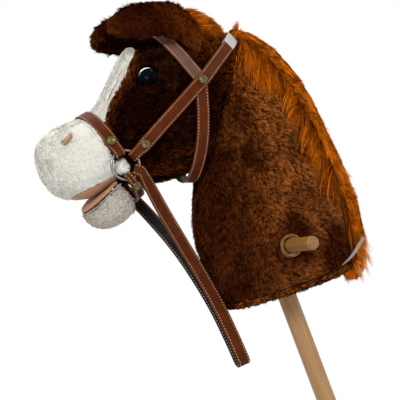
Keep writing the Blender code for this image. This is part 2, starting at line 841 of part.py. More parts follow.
def make_covers(looks, rivets, eyes):
    """Neck cover, head cover, blaze, base panel and stuffing, from nested forms."""
    outer = whole_form("outer", 0.0)
    space = whole_form("space", COVER, INNER_SIDES)
    filling = whole_form("filling", COVER + 2 * GAP, INNER_SIDES)
    shell = copy_of(outer, "shell", cutters)
    combine(shell, space)
    point, to_neck = seam()
    head = copy_of(shell, "head_cover")
    combine(head, half_space("seam_head", point - to_neck * GAP / 2, -to_neck), "INTERSECT")
    neck = copy_of(shell, "neck_cover")
    combine(neck, half_space("seam_neck", point + to_neck * GAP / 2, to_neck), "INTERSECT")
    base = copy_of(neck, "base_panel")
    point, away = base_plane(BAND_HEIGHT - GAP / 2)
    combine(base, half_space("band_low", point, -away), "INTERSECT")
    point, away = base_plane(BAND_HEIGHT + GAP / 2)
    combine(neck, half_space("band_high", point, away), "INTERSECT")

    bore = cylinder("stick_bore", STICK_DIAMETER + 2 * GAP, 2 * (STICK_INSIDE + GAP))
    bore = cutter_from("stick_bore", stand(bore, side((0.0, 0.0)), (0, 0, 1)))
    combine(base, bore)
    combine(filling, bore)
    hole = peg_bore("peg_hole_cover", 2 * BINDING_RADIUS + BINDING_THICKNESS + 2 * GAP)
    combine(neck, hole)
    combine(filling, peg_bore("peg_hole_filling", 2 * BINDING_RADIUS - BINDING_THICKNESS))
    for eye in eyes:
        cut_both(head, eye.pocket())
        cut_both(head, eye.stem_hole())
        cut_both(filling, eye.washer_room())
    for rivet in rivets:
        depth = rivet.grip + 2 * GAP + RIVET_BACK_THICKNESS
        cut_both(head, rivet.bore(RIVET_BACK + 2 * GAP, -depth, 0.0))

    prism = blaze_prism("blaze_prism", 0.0)
    blaze = copy_of(head, "blaze")
    combine(blaze, prism, "INTERSECT")
    combine(head, blaze_prism("blaze_room", GAP))

    finish(head, looks["plush"])
    finish(neck, looks["plush"])
    finish(base, looks["plush"])
    finish(blaze, looks["white"])
    stuffing = copy_of(filling, "stuffing")
    finish(stuffing, looks["fibre"])


def blaze_prism(name, grow):
    """A long block with a pointed top that stands out of the forehead."""
    top = side(BLAZE_TOP)
    foot = side(BLAZE_FOOT)
    along = (top - foot).normalized()
    out = Vector((-along.z, 0.0, along.x))
    wide = Vector((0.0, BLAZE_HALF_WIDTH + grow, 0.0))
    low = foot - along * grow
    high = top + along * grow
    shoulder = high - along * BLAZE_HALF_WIDTH
    outline = (low - wide, low + wide, shoulder + wide, high, shoulder - wide)
    bm = bmesh.new()
    inner = [bm.verts.new(point - out * BLAZE_REACH) for point in outline]
    outer = [bm.verts.new(point + out * BLAZE_REACH) for point in outline]
    for i in range(len(outline)):
        j = (i + 1) % len(outline)
        bm.faces.new((inner[i], inner[j], outer[j], outer[i]))
    bm.faces.new(inner)
    bm.faces.new(outer)
    return cutter_from(name, mesh_from(name, bm))


class Eye:
    """A safety eye: its dome, stem and lock washer on the normal of the face."""

    def __init__(self, tree):
        hit = tree.ray_cast(side(EYE_PLACE), Vector((0.0, -1.0, 0.0)))
        self.point = hit[0]
        self.out = hit[1]
        if self.out.y > 0.0:
            self.out = -self.out

    def bore(self, name, diameter, low, high):
        mesh = cylinder(name, diameter, high - low)
        middle = self.point + self.out * (high + low) / 2
        return cutter_from(name, stand(mesh, middle, self.out))

    def pocket(self):
        return self.bore("eye_pocket", EYE_DIAMETER + 2 * GAP, -EYE_SINK - GAP, EYE_HEIGHT * 2)

    def stem_hole(self):
        return self.bore("eye_hole", EYE_STEM_DIAMETER + 2 * GAP, -EYE_STEM, EYE_HEIGHT)

    def washer_room(self):
        low = -EYE_SINK - EYE_STEM - GAP
        return self.bore("washer_room", WASHER_DIAMETER + 2 * GAP, low, EYE_HEIGHT)

    def make(self, looks):
        radius = EYE_DIAMETER / 2
        stem = EYE_STEM_DIAMETER / 2
        dome = [
            (radius * math.sin(t), EYE_HEIGHT * math.cos(t) - EYE_SINK)
            for t in (math.pi / 2 * n / 5 for n in range(6))
        ]
        profile = dome + [
            (stem, -EYE_SINK),
            (stem, -EYE_SINK - EYE_STEM),
            (0.0, -EYE_SINK - EYE_STEM),
        ]
        mesh = stand(turned("eye_left", profile, 24), self.point, self.out)
        left = finish(link("eye_left", mesh), looks["eye"])
        finish(mirrored(left, "eye_right"), looks["eye"])
        low = -WASHER_DEPTH - WASHER_THICKNESS
        ring = [
            (stem + GAP, -WASHER_DEPTH),
            (WASHER_DIAMETER / 2, -WASHER_DEPTH),
            (WASHER_DIAMETER / 2, low),
            (stem + GAP, low),
            (stem + GAP, -WASHER_DEPTH),
        ]
        bm = bmesh.new()
        bm.from_mesh(turned("eye_washer_left", ring, 20))
        bmesh.ops.remove_doubles(bm, verts=bm.verts, dist=WELD)
        mesh = stand(mesh_from("eye_washer_left", bm), self.point, self.out)
        left = finish(link("eye_washer_left", mesh), looks["washer"])
        finish(mirrored(left, "eye_washer_right"), looks["washer"])


def make_muzzle(looks):
    """White muzzle with its nostril slits, and the peach lining under the lip."""
    point, forward = nose_plane()
    front = half_space("muzzle_back", point, forward)
    corner = side(LIP_CORNER)
    along = (side(LIP_FRONT) - corner).normalized()
    above = Vector((-along.z, 0.0, along.x))
    if above.z < 0.0:
        above = -above
    muzzle = copy_of(stuffed("muzzle_form", MUZZLE_SECTIONS), "muzzle")
    combine(muzzle, front, "INTERSECT")
    combine(muzzle, half_space("lip_above", corner + above * GAP / 2, above), "INTERSECT")
    lip = copy_of(stuffed("lip_form", MUZZLE_SECTIONS, LIP_STEP), "muzzle_lip")
    combine(lip, front, "INTERSECT")
    combine(lip, half_space("lip_below", corner - above * GAP / 2, -above), "INTERSECT")

    hit = tree_of(muzzle.data).ray_cast(side(NOSTRIL_PLACE), Vector((0.0, -1.0, 0.0)))[0]
    room = ball("nostril_room", hit, NOSTRIL_HALF, NOSTRIL_LEAN, GAP, 14)
    cut_both(muzzle, room)
    slit = ball("nostril_form", hit, NOSTRIL_HALF, NOSTRIL_LEAN, 0.0, 14)
    left = finish(copy_of(slit, "nostril_left"), looks["peach"])
    finish(mirrored(left, "nostril_right"), looks["peach"])
    finish(muzzle, looks["white"])
    return finish(lip, looks["peach"])


def make_jaw(looks, chin):
    """Lower jaw lobe, cut by the larger forms, with its peach upper face."""
    corner = side(JAW_TOP_BACK)
    along = (side(JAW_TOP_FRONT) - corner).normalized()
    above = Vector((along.z, 0.0, -along.x))
    if above.z < 0.0:
        above = -above
    muzzle = stuffed("muzzle_clear", MUZZLE_SECTIONS, -GAP)
    head = head_form("head_clear", -GAP)
    edge = chin.start - chin.across * (CHIN_WIDTH / 2 + GAP)
    front = half_space("jaw_back", edge, -chin.across)
    for name, grow, low, high, look in (
        ("jaw_lining", -LIP_STEP, JAW_LINING, 0.0, "peach"),
        ("lower_jaw", 0.0, None, JAW_LINING + GAP, "white"),
    ):
        form = ball(name + "_form", side(JAW_CENTRE), JAW_HALF, JAW_LEAN, grow, 28)
        jaw = copy_of(form, name)
        combine(jaw, half_space(name + "_top", corner - above * high, -above), "INTERSECT")
        if low is not None:
            combine(jaw, half_space(name + "_foot", corner - above * low, above), "INTERSECT")
        combine(jaw, muzzle)
        combine(jaw, head)
        combine(jaw, front, "INTERSECT")
        finish(jaw, looks[look])


def ear_form(name, grow, shift):
    """The ear's flap, or a copy that is drawn in and shifted toward its hollow side."""
    rings = []
    spread = swell(INNER_SIDES)
    for ring in EAR_RINGS:
        tilt = math.radians(ring.tilt)
        tall = Vector((0.0, math.sin(tilt), math.cos(tilt)))
        thick = Vector((0.0, math.cos(tilt), -math.sin(tilt)))
        centre = Vector((ring.x, ring.y, up(ring.z))) + thick * shift
        high = max(ring.tall + grow, 0.0006) * spread
        deep = max(ring.thick + min(grow, 0.0), 0.0006) * spread
        rings.append(
            [
                centre + tall * high * math.cos(t) + thick * deep * math.sin(t)
                for t in (2.0 * math.pi * i / INNER_SIDES for i in range(INNER_SIDES))
            ]
        )
    return loft(name, rings)


def make_ears(looks, rooms):
    """Ears with a lining let into their hollow side, cut where head and straps pass."""
    flap = copy_of(ear_form("ear_form", 0.0, 0.0), "ear_left")
    room = ear_form("ear_lining_room", -EAR_HEM + GAP, EAR_HOLLOW)
    lining = copy_of(ear_form("ear_lining_form", -EAR_HEM, EAR_HOLLOW), "ear_lining_left")
    combine(lining, ear_form("ear_back", 0.0, 0.0), "INTERSECT")
    root = side((EAR_LINING_FROM, EAR_RINGS[0].z))
    combine(room, half_space("ear_room_front", root + Vector((GAP, 0, 0)), (-1, 0, 0)), "INTERSECT")
    combine(lining, half_space("ear_lining_front", root, (-1, 0, 0)), "INTERSECT")
    combine(flap, room)
    for piece, look, other in (
        (flap, "plush", "ear_right"),
        (lining, "nap", "ear_lining_right"),
    ):
        for cutter in rooms:
            combine(piece, cutter)
        finish(piece, looks[look])
        finish(mirrored(piece, other), looks[look])


def waved(sections, waves, share):
    """More sections between the given ones, with a depth that waves along them."""
    result = []
    count = 2 * waves + 1
    for n in range(count):
        place = n * (len(sections) - 1) / (count - 1)
        low = min(int(place), len(sections) - 2)
        part = place - low
        mixed = [p + (q - p) * part for p, q in zip(sections[low], sections[low + 1])]
        section = Section(*mixed)
        depth = section.depth * (1.0 + share * (-1) ** n)
        result.append(section._replace(depth=depth))
    return result


def make_mane(looks, rooms):
    """The mane along the crest, the tape it is sewn to, and the forelock."""
    tape = copy_of(neck_form("tape_form", -GAP - TAPE_THICKNESS), "mane_backing")
    low = (0.03, -TAPE_HALF_WIDTH, up(TAPE_FOOT))
    high = (FAR, TAPE_HALF_WIDTH, up(TAPE_TOP))
    combine(tape, block("tape_slab", low, high), "INTERSECT")
    combine(tape, neck_form("tape_inside", -GAP))
    waves = waved(CREST_SECTIONS, LOCKS, LOCK_DEPTH)
    mane = copy_of(stuffed("mane_form", waves, sides=INNER_SIDES), "mane")
    combine(mane, neck_form("mane_inside", -2 * GAP - TAPE_THICKNESS))
    forelock = stuffed("forelock_form", FORELOCK_SECTIONS, sides=INNER_SIDES)
    forelock = copy_of(forelock, "forelock")
    combine(forelock, neck_form("forelock_neck", -GAP))
    for piece in (mane, tape, forelock):
        for cutter in rooms:
            combine(piece, cutter)
    finish(mane, looks["mane"])
    finish(tape, looks["tape"])
    finish(forelock, looks["mane"])


def make_rings(look):
    """One bit ring a side, each with its origin on its own axis."""
    for name, out in (("bit_ring_left", RING_OUT), ("bit_ring_right", -RING_OUT)):
        mesh = stand(torus(RING_RADIUS, RING_WIRE, 32, 6), (0.0, 0.0, 0.0), (0.0, 1.0, 0.0))
        ring = link(name, mesh)
        ring.location = side(RING_PLACE, out)
        finish(ring, look, 80)


class Bridle:
    """The straps in the order in which they lie on the head, each on the ones below it."""

    def __init__(self, head, whole):
        self.surfaces = [whole]
        self.made = {}
        self.rivets = {}

        self.nose = Slab(RING_PLACE, NOSEBAND_ANGLE)
        line = self.nose.outline(self.surfaces, STRAP_WIDTH)
        line = self.from_ring(line, RING_STRAP_WIDTH, 0.0, FOLD_BACK, RIVET_AT)
        nose_line = both_sides(line)
        width = ring_width(RING_STRAP_WIDTH, STRAP_WIDTH)
        noseband = self.lay("noseband", self.nose, nose_line, width)

        self.chin = Slab(RING_PLACE, CHIN_ANGLE, CHIN_OFFSET)
        route = curve_through([(a, RING_OUT - lean, 0.0) for a, lean in CHIN_ROUTE], STRAP_STEP)
        line = [(spot.x, spot.y) for spot in reversed(route)]
        line = self.from_ring(line, CHIN_FOLD_WIDTH, CHIN_OFFSET, CHIN_FOLD_BACK, CHIN_RIVET_AT)
        chin_line = both_sides(line)
        chin_width = ring_width(CHIN_FOLD_WIDTH, CHIN_WIDTH)
        chin_strap = self.lay("chin_strap", self.chin, chin_line, chin_width)

        turn = math.atan2(JUNCTION[1] - RING_PLACE[1], JUNCTION[0] - RING_PLACE[0])
        self.cheek = Slab(RING_PLACE, math.degrees(turn))
        line = self.cheek.outline(self.surfaces, STRAP_WIDTH)
        line = lifted(line, [STRAP_OFF + ELASTIC / 2] * len(line))
        run = [spot for spot in line if spot[0] > CROWN_END - ELASTIC_LAP and spot[1] >= 0.0]
        self.crown_line = both_sides(list(reversed(run)))
        self.lay("crown_elastic", self.cheek, self.crown_line, STRAP_WIDTH, ELASTIC)

        self.throat = Slab(JUNCTION, THROAT_ANGLE)
        line = self.throat.outline([head] + self.surfaces[1:], STRAP_WIDTH)
        kept = [spot for spot in line if spot[0] > -PAST_RIVET]
        heights = [SEAT + THROAT_SLACK * smooth_step(1.0 - b / THROAT_SLACK_OUT) for a, b in kept]
        line = both_sides(list(reversed(lifted(kept, heights))))
        throat_lash = self.lay("throat_lash", self.throat, line, STRAP_WIDTH)

        self.brow = Slab(JUNCTION, BROWBAND_ANGLE)
        line = self.brow.outline(self.surfaces, STRAP_WIDTH)
        kept = [spot for spot in line if spot[0] > -PAST_RIVET]
        self.brow_line = both_sides(list(reversed(lifted(kept, [SEAT] * len(kept)))))
        self.lay("browband", self.brow, self.brow_line, STRAP_WIDTH)

        line = self.cheek.outline(self.surfaces, STRAP_WIDTH)
        line = self.from_ring(line, RING_STRAP_WIDTH, 0.0, FOLD_BACK, RIVET_AT)
        cheek_line = cut_at(line, CROWN_END)
        cheek = self.lay("cheek_strap_left", self.cheek, cheek_line, width)

        reach = math.dist(JUNCTION, RING_PLACE)
        for name, slab, line, place, lowest in (
            ("nose", self.nose, nose_line, RIVET_AT, noseband),
            ("cheek", self.cheek, cheek_line, RIVET_AT, cheek),
            ("chin", self.chin, chin_line, CHIN_RIVET_AT, chin_strap),
            ("junction", self.cheek, cheek_line, reach, throat_lash),
        ):
            self.rivets[name] = Rivet(slab, line, nearest(line, place), lowest)

    def lay(self, name, slab, line, width, thickness=STRAP):
        """Make a strap, and count it among the surfaces that the next ones lie on."""
        made = ribbon(name, slab, line, width, thickness)
        self.made[name] = made
        self.surfaces.append(tree_of(made.data))
        return made

    def from_ring(self, line, fold_width, offset, back, rivet_at):
        """A strap's left line: folded end at the ring, then over the form to the middle plane."""
        outer = SEAT + STRAP + FOLD_GAP
        rest = [spot for spot in line if spot[0] > back]
        run = lengths(rest)
        heights = [SEAT + (outer - SEAT) * (1.0 - smooth_step((run[-1] - far) / FOLD_DROP)) for far in run]
        raised = list(reversed(lifted(rest, heights)))
        return folded_end(line, fold_width, offset, back, rivet_at) + raised[1:]

    def finish(self, looks):
        """Pierce the straps for their rivets, and make the rivets and the right-hand straps."""
        shank = RIVET_SHANK + 2 * GAP
        deep = RIVET_REACH
        for rivet, names in (
            ("nose", ("noseband",)),
            ("chin", ("chin_strap",)),
            ("cheek", ("cheek_strap_left",)),
            ("junction", ("cheek_strap_left", "browband", "throat_lash")),
        ):
            hole = self.rivets[rivet].bore(shank, -deep, deep)
            for name in names:
                combine(self.made[name], hole)
                if not name.endswith("_left"):
                    combine(self.made[name], mirrored_cutter(hole))
        for name, piece in self.made.items():
            finish(piece, looks["elastic" if name == "crown_elastic" else "leather"], 30)
        finish(mirrored(self.made["cheek_strap_left"], "cheek_strap_right"), looks["leather"], 30)
        for name, rivet in self.rivets.items():
            left = link(f"{name}_rivet_left", rivet.mesh())
            finish(left, looks["brass"])
            finish(mirrored(left, f"{name}_rivet_right"), looks["brass"])

    def room(self, name, slab, line):
        """The space that a strap takes with its clearance."""
        return hide(ribbon(name, slab, line, STRAP_WIDTH, STRAP, GAP, cutters))


def curve_through(places, step):
    """Even points on a smooth curve through places, by the Catmull-Rom rule."""
    places = [Vector(place) for place in places]
    padded = [2 * places[0] - places[1]] + places + [2 * places[-1] - places[-2]]
    fine = []
    for p, q, r, s in zip(padded, padded[1:], padded[2:], padded[3:]):
        for n in range(12):
            t = n / 12
            fine.append(
                0.5
                * (
                    2 * q
                    + (r - p) * t
                    + (2 * p - 5 * q + 4 * r - s) * t * t
                    + (3 * q - p - 3 * r + s) * t * t * t
                )
            )
    fine.append(places[-1])
    run = [0.0]
    for first, second in zip(fine, fine[1:]):
        run.append(run[-1] + (second - first).length)
    count = max(2, round(run[-1] / step))
    result = []
    for m in range(count + 1):
        distance = run[-1] * m / count
        n = next((n for n in range(1, len(run)) if distance <= run[n] + 1e-9), len(run) - 1)
        part = (distance - run[n - 1]) / max(run[n] - run[n - 1], 1e-12)
        result.append(fine[n - 1].lerp(fine[n], min(part, 1.0)))
    return result


def rein_hang(outer, n, slab):
    """The way across the rein's width: the ring's at first, then square to the way it hangs."""
    blend = smooth_step((n - REIN_START) / FOLD_ROWS)
    ahead = outer[min(n + 2, len(outer) - 1)] - outer[max(n - 2, 0)]
    hang = Vector((ahead.z, 0.0, -ahead.x))
    if hang.dot(slab.across) < 0.0:
        hang = -hang
    if hang.length < WELD or blend == 0.0:
        return slab.across
    return slab.across.lerp(hang.normalized(), blend).normalized()


def make_reins(look):
    """One strap from ring to ring: folded round the left ring, down, round and up to the right."""
    slab = Slab(RING_PLACE, REIN_ANGLE)
    bend = RING_WIRE / 2 + GAP + REIN_THICKNESS / 2
    fold = fold_place(RING_STRAP_WIDTH / 2)
    straight = RING_RADIUS + RING_WIRE
    outer = [slab.point(a, RING_OUT + bend) for a in (fold, (fold + straight) / 2, straight)]
    route = [Vector((x, -y, up(z))) for x, y, z in REIN_ROUTE]
    outer += curve_through([outer[-1]] + route, REIN_STEP)[1:]
    foot = route[-1]
    for n in range(1, FOLD_STEPS):
        turn = math.pi / 2 * n / FOLD_STEPS
        out = -foot.y - REIN_FOOT_RADIUS * (1.0 - math.cos(turn))
        outer.append(Vector((foot.x, -out, foot.z - REIN_FOOT_RADIUS * math.sin(turn))))
    outer.append(Vector((foot.x, 0.0, foot.z - REIN_FOOT_RADIUS)))
    hangs = [rein_hang(outer, n, slab) for n in range(len(outer))]

    path = []
    for n in range(REIN_START + 2, -1, -1):
        close = smooth_step((n - REIN_START + 1) / 2.0)
        apart = 2.0 * bend + (REIN_THICKNESS + FOLD_GAP - 2.0 * bend) * close
        path.append((outer[n] + Vector((0.0, apart, 0.0)), hangs[n]))
    for n in range(1, FOLD_STEPS):
        turn = math.radians(-90.0 - 180.0 * n / FOLD_STEPS)
        spot = slab.point(fold + bend * math.cos(turn), RING_OUT + bend * math.sin(turn))
        path.append((spot, slab.across))
    path += list(zip(outer, hangs))
    flip = Vector((1.0, -1.0, 1.0))
    path += [(spot * flip, hang) for spot, hang in reversed(path[:-1])]

    centre = side(RING_PLACE)
    width = ring_width(RING_STRAP_WIDTH, STRAP_WIDTH)
    bm = bmesh.new()
    rows = []
    for n, (spot, hang) in enumerate(path):
        before = path[max(n - 1, 0)][0]
        after = path[min(n + 1, len(path) - 1)][0]
        run = (after - before).normalized()
        across = (hang - run * hang.dot(run)).normalized()
        out = run.cross(across).normalized() * REIN_THICKNESS / 2
        away = spot - centre
        half = across * width((math.hypot(away.x, away.z), 0.0)) / 2
        corners = (spot - half - out, spot + half - out, spot + half + out, spot - half + out)
        rows.append([bm.verts.new(corner) for corner in corners])
    for first, second in zip(rows, rows[1:]):
        for i in range(4):
            j = (i + 1) % 4
            bm.faces.new((first[i], first[j], second[j], second[i]))
    bm.faces.new(rows[0])
    bm.faces.new(rows[-1])
    reins = link("reins", mesh_from("reins", bm))
    axis = bpy.data.objects.new("rein_axis", None)
    axis.location = centre
    parts.objects.link(axis)
    bpy.context.view_layer.update()
    reins.parent = axis
    reins.matrix_parent_inverse = axis.matrix_world.inverted()
    return finish(reins, look, 30)


def main():
    start_scene()
    looks = {
        "wood": material("wood", WOOD, 0.5),
        "plush": material("plush", BROWN, 0.9),
        "white": material("white_plush", WHITE, 0.9),
        "peach": material("peach_cloth", PEACH, 0.7),
        "fibre": material("fibre", (0.85, 0.85, 0.83), 0.9),
        "mane": material("mane_pile", GINGER, 0.7),
        "tape": material("woven_tape", (0.60, 0.50, 0.38), 0.8),
        "nap": material("dark_nap", (0.020, 0.010, 0.008), 0.9),
        "leather": material("leatherette", LEATHER, 0.45),
        "elastic": material("elastic", (0.80, 0.80, 0.76), 0.7),
        "binding": material("binding", (0.45, 0.22, 0.05), 0.8),
        "eye": material("eye_plastic", (0.004, 0.004, 0.005), 0.08),
        "washer": material("washer_plastic", (0.75, 0.75, 0.72), 0.5),
        "brass": material("antique_brass", BRASS, 0.35, 1.0),
        "steel": material("steel", (0.60, 0.60, 0.58), 0.2, 1.0),
    }
    tree = tree_of(whole_form("measure", 0.0).data)
    head_tree = tree_of(head_form("measure_head", 0.0).data)
    make_stick(looks["wood"])
    make_peg(looks["wood"])
    bridle = Bridle(head_tree, tree)
    bridle.finish(looks)
    eye = Eye(tree)
    eye.make(looks)
    make_covers(looks, bridle.rivets.values(), [eye])
    make_bindings(looks["binding"], tree)
    make_muzzle(looks)
    make_jaw(looks, bridle.chin)
    brow_room = bridle.room("brow_room", bridle.brow, bridle.brow_line)
    crown_room = bridle.room("crown_room", bridle.cheek, bridle.crown_line)
    neck_room = neck_form("neck_room", -GAP)
    head_room = head_form("head_room", -GAP)
    make_ears(looks, (head_room, neck_room, brow_room))
    make_mane(looks, (head_room, brow_room, crown_room))
    make_rings(looks["steel"])
    make_reins(looks["leather"])


main()
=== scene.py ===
"""Looks of a plush hobby horse: long and short pile, stitched bridle, wooden stick and peg."""

import math

import bmesh
import bpy
import numpy as np
from bpy.props import FloatProperty, FloatVectorProperty, IntProperty, PointerProperty
from mathutils import Matrix, Vector, noise
from mathutils.bvhtree import BVHTree
from mathutils.kdtree import KDTree


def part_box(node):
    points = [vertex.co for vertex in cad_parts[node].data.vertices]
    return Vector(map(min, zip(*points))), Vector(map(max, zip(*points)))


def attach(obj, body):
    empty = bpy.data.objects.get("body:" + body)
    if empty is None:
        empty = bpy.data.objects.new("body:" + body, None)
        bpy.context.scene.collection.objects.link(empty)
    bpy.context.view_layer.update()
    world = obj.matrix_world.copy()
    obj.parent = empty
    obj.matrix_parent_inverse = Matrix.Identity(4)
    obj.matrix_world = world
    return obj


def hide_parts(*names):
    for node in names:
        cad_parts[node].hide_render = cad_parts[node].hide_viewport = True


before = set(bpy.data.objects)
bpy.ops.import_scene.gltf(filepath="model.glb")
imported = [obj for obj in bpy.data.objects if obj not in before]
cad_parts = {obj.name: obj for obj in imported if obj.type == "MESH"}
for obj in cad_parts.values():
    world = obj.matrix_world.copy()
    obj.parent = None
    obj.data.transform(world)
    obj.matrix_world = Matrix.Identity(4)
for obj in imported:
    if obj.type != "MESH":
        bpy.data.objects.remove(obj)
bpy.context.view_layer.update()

bl_info = {
    "name": "Hobby horse",
    "version": (1, 0, 0),
    "blender": (4, 5, 0),
    "location": "3D View > Sidebar > Hobby horse",
    "description": "Dresses the packed hobby horse with pile, leatherette, wood and metal",
    "category": "Object",
}

NECK_BASE = 0.565
BASE_RISE = 0.0125
BASE_SLOPE = math.tan(math.radians(3.5))
BAND_HEIGHT = 0.010
PEG_RISE = 0.067
WELD = 0.00001
# Bends of a strap solid's edges: between two triangles of one face, at a corner, and along a corner line.
FLAT, SQUARE, LOST = math.radians(3.0), math.radians(85.0), math.radians(40.0)
ROW_WIDTHS = (0.011, 0.0165)  # least and greatest width of a strap
ROWS_BETWEEN = 2  # rows made for each row of a strap's solid
HORSE = "horse"
PILE_DEPTH = 0.0020  # how far below its form's surface the pile is rooted
THIN_PILE_DEPTH = 0.0012
WHITE_PILE_DEPTH = 0.0030
NEAR_FILLING = 0.0015  # the inner side of a cloth lies within this of the filling
OVER_STRAP = 0.010  # a hair this close above a strap lies over it
UNDER_COVER = 0.005  # a place with another piece this close above it grows no pile
REINS_ROOM = (0.006, 0.016)  # the pile grows from short to full between these distances from the reins
SHORT_PILE = 0.28
HAIR_WIDTH = 0.0009
FINE_HAIR = 0.0007
MATT = {"Specular IOR Level": 0.0}
# Hairs tried on each form, and their length.
BASE_HAIRS, BASE_LONG, BASE_WIDE = 30000, 0.0060, 0.0010
BASE_PILE_DEPTH = 0.0014
BASE_FRINGE = 0.0012  # how far the base panel's pile may hang below it
SEAM_CLEAR = 0.0016  # how far below its top seam the base panel's pile starts
BLAZE_EDGE_HAIRS, BLAZE_HAIRS, BLAZE_LONG = 26000, 16000, 0.0046
MUZZLE_HAIRS, JAW_HAIRS, JAW_LONG = 84000, 26000, 0.0050
CORNER_HAIRS, CORNER_LONG, CORNER_PILE_DEPTH = 5200, 0.0040, 0.0008
CORNER_HALF = (0.0070, 0.0065, 0.0085)  # half sizes of the white tuft at each corner of the mouth
CORNER_PLACE = (-0.1475, 0.0405, NECK_BASE + 0.219)
EAR_HAIRS, EAR_LONG = 40000, 0.0078
FUZZ_HAIRS, FUZZ_LONG = 12000, 0.0125
FORELOCK_HAIRS, FORELOCK_LONG = 15000, 0.022
MANE_WIDTH, TUFT_WIDTH = 0.0011, 0.0008
MANE_LOCKS = 420  # in each half of the mane
MANE_SPAN = math.pi * 0.78  # how far round the mane's core, to each side of its back, locks start
LOCK_HAIRS = 20  # in each lock over the neck
ROOT_HIGH, TIP_HIGH = (0.0045, 0.0085), 0.0032  # how high over the cloth these locks start and end
BESIDE_STRAP = 0.0045

# The mane's middle line down the crest: place along x and z above the neck's base, how far its
# depth axis leans up from the horse's back, and its half depth and half width.
MANE_LINE = (
    (0.047, 0.316, 62, 0.009, 0.012),
    (0.063, 0.305, 55, 0.012, 0.012),
    (0.078, 0.276, 38, 0.019, 0.017),
    (0.092, 0.236, 22, 0.021, 0.020),
    (0.100, 0.190, 8, 0.020, 0.021),
    (0.104, 0.140, 0, 0.021, 0.021),
    (0.104, 0.090, -4, 0.024, 0.020),
    (0.099, 0.042, -10, 0.023, 0.018),
    (0.092, 0.010, -16, 0.019, 0.015),
    (0.087, -0.006, -18, 0.007, 0.007),
)
# Locks that fall over the neck: the stretch of the mane's length that they grow from, how many, the
# way that they set out and the way that they end (x, outwards, z), and their least and greatest length.
SIDE_LOCKS = (
    (-0.02, 0.13, 96, (-0.15, 0.90, -0.50), (-0.22, 0.15, -1.0), 0.055, 0.095),
    (0.12, 0.36, 104, (-0.45, 0.90, -0.45), (-0.28, 0.15, -1.0), 0.040, 0.075),
    (0.34, 0.62, 124, (-0.85, 0.85, -0.15), (-0.45, 0.15, -0.9), 0.040, 0.070),
    (0.60, 0.90, 72, (-0.45, 0.80, -0.60), (-0.20, 0.15, -1.0), 0.020, 0.040),
)
# Middle line of the tape's loose end.
TAPE_END = (
    (0.0560, -0.0535, 0.0215),
    (0.0640, -0.0500, 0.0228),
    (0.0720, -0.0455, 0.0240),
    (0.0800, -0.0400, 0.0255),
    (0.0880, -0.0340, 0.0275),
    (0.0960, -0.0285, 0.0300),
    (0.1040, -0.0240, 0.0330),
    (0.1110, -0.0200, 0.0360),
)
TAPE_END_HALF_WIDTH = 0.0024
# Tufts that stand out of the mane: root and tip along x, y and z above the neck's base, and hairs.
TUFTS = (
    ((0.051, 0.000, 0.312), (0.0655, -0.002, 0.3335), 110),
    ((0.056, 0.004, 0.308), (0.0700, 0.004, 0.3215), 90),
    ((0.048, -0.012, 0.308), (0.0560, -0.018, 0.3190), 80),
    ((0.116, -0.004, 0.108), (0.1320, -0.006, 0.0890), 110),
    ((0.114, -0.010, 0.122), (0.1280, -0.014, 0.1060), 90),
    ((0.118, 0.006, 0.090), (0.1300, 0.008, 0.0720), 90),
    ((0.108, -0.010, 0.040), (0.1130, -0.014, -0.0060), 70),
    ((0.102, -0.012, 0.034), (0.1050, -0.012, -0.0140), 60),
    ((0.098, -0.008, 0.030), (0.0990, -0.004, -0.0190), 60),
    ((0.092, -0.012, 0.026), (0.0920, -0.016, -0.0140), 60),
    ((0.088, 0.006, 0.012), (0.0850, 0.010, -0.0090), 60),
    ((0.104, 0.008, 0.020), (0.1070, 0.014, -0.0050), 60),
    ((0.110, -0.008, 0.055), (0.1190, -0.012, 0.0100), 60),
)
CROWN_TUFTS = 3  # how many of them, from the first, stand at the crown
NOISE_SEED = 7  # without it noise_vector differs from run to run
# Tones of an eye from its middle outwards, its dome's height and its shank's radius.
EYE_CENTRE = (0.0012, 0.0040, 0.0080)
EYE_MIDDLE = (0.0006, 0.0014, 0.0030)
EYE_RIM = (0.0008, 0.0008, 0.0010)
EYE_HIGH, EYE_SHANK = 0.0065, 0.0025
# The eye's glint is a painted highlight: a coat laid only between these heights.
GLINT = (0.0025, 0.0065)  # heights above the eye's middle between which its glint comes up
PEG_ROUND = 0.0025  # rounding of the peg's ends
STICK_ROUND, STICK_NEAR_RIM = 0.002, 0.0006
STITCH_WIDTH, STITCH_SINK = 0.0009, 0.00005


def colour(name, value, about):
    return FloatVectorProperty(
        name=name, description=about, subtype="COLOR", size=3, min=0, max=1, default=value
    )


def length(name, value, about):
    return FloatProperty(name=name, description=about, unit="LENGTH", min=0, precision=5, default=value)


def count(name, value, about):
    return IntProperty(name=name, description=about, min=0, default=value)


def cad(node):
    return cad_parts[node]


def joined(node):
    """A CAD node's mesh with its loose triangles joined."""
    bm = bmesh.new()
    bm.from_mesh(cad(node).data)
    bmesh.ops.remove_doubles(bm, verts=bm.verts[:], dist=WELD)
    return bm


def tree_of(*nodes):
    """One search tree over the surfaces of several CAD nodes."""
    whole = bmesh.new()
    for name in nodes:
        whole.from_mesh(cad(name).data)
    tree = BVHTree.FromBMesh(whole)
    whole.free()
    return tree


def piece(mesh, name, materials, body=HORSE, stands_for=(), slot=None, smooth=True):
    """Makes the object of a finished mesh and says what it rides on and stands for."""
    if isinstance(mesh, bmesh.types.BMesh):
        bm = mesh
        mesh = bpy.data.meshes.new(name)
        bm.to_mesh(mesh)
        bm.free()
    mesh.name = name
    for made in materials if isinstance(materials, (list, tuple)) else [materials]:
        mesh.materials.append(made)
    if smooth:
        mesh.polygons.foreach_set("use_smooth", [True] * len(mesh.polygons))
    obj = bpy.data.objects.new(name, mesh)
    bpy.context.scene.collection.objects.link(obj)
    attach(obj, body)
    if stands_for:
        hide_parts(*stands_for)
    return obj


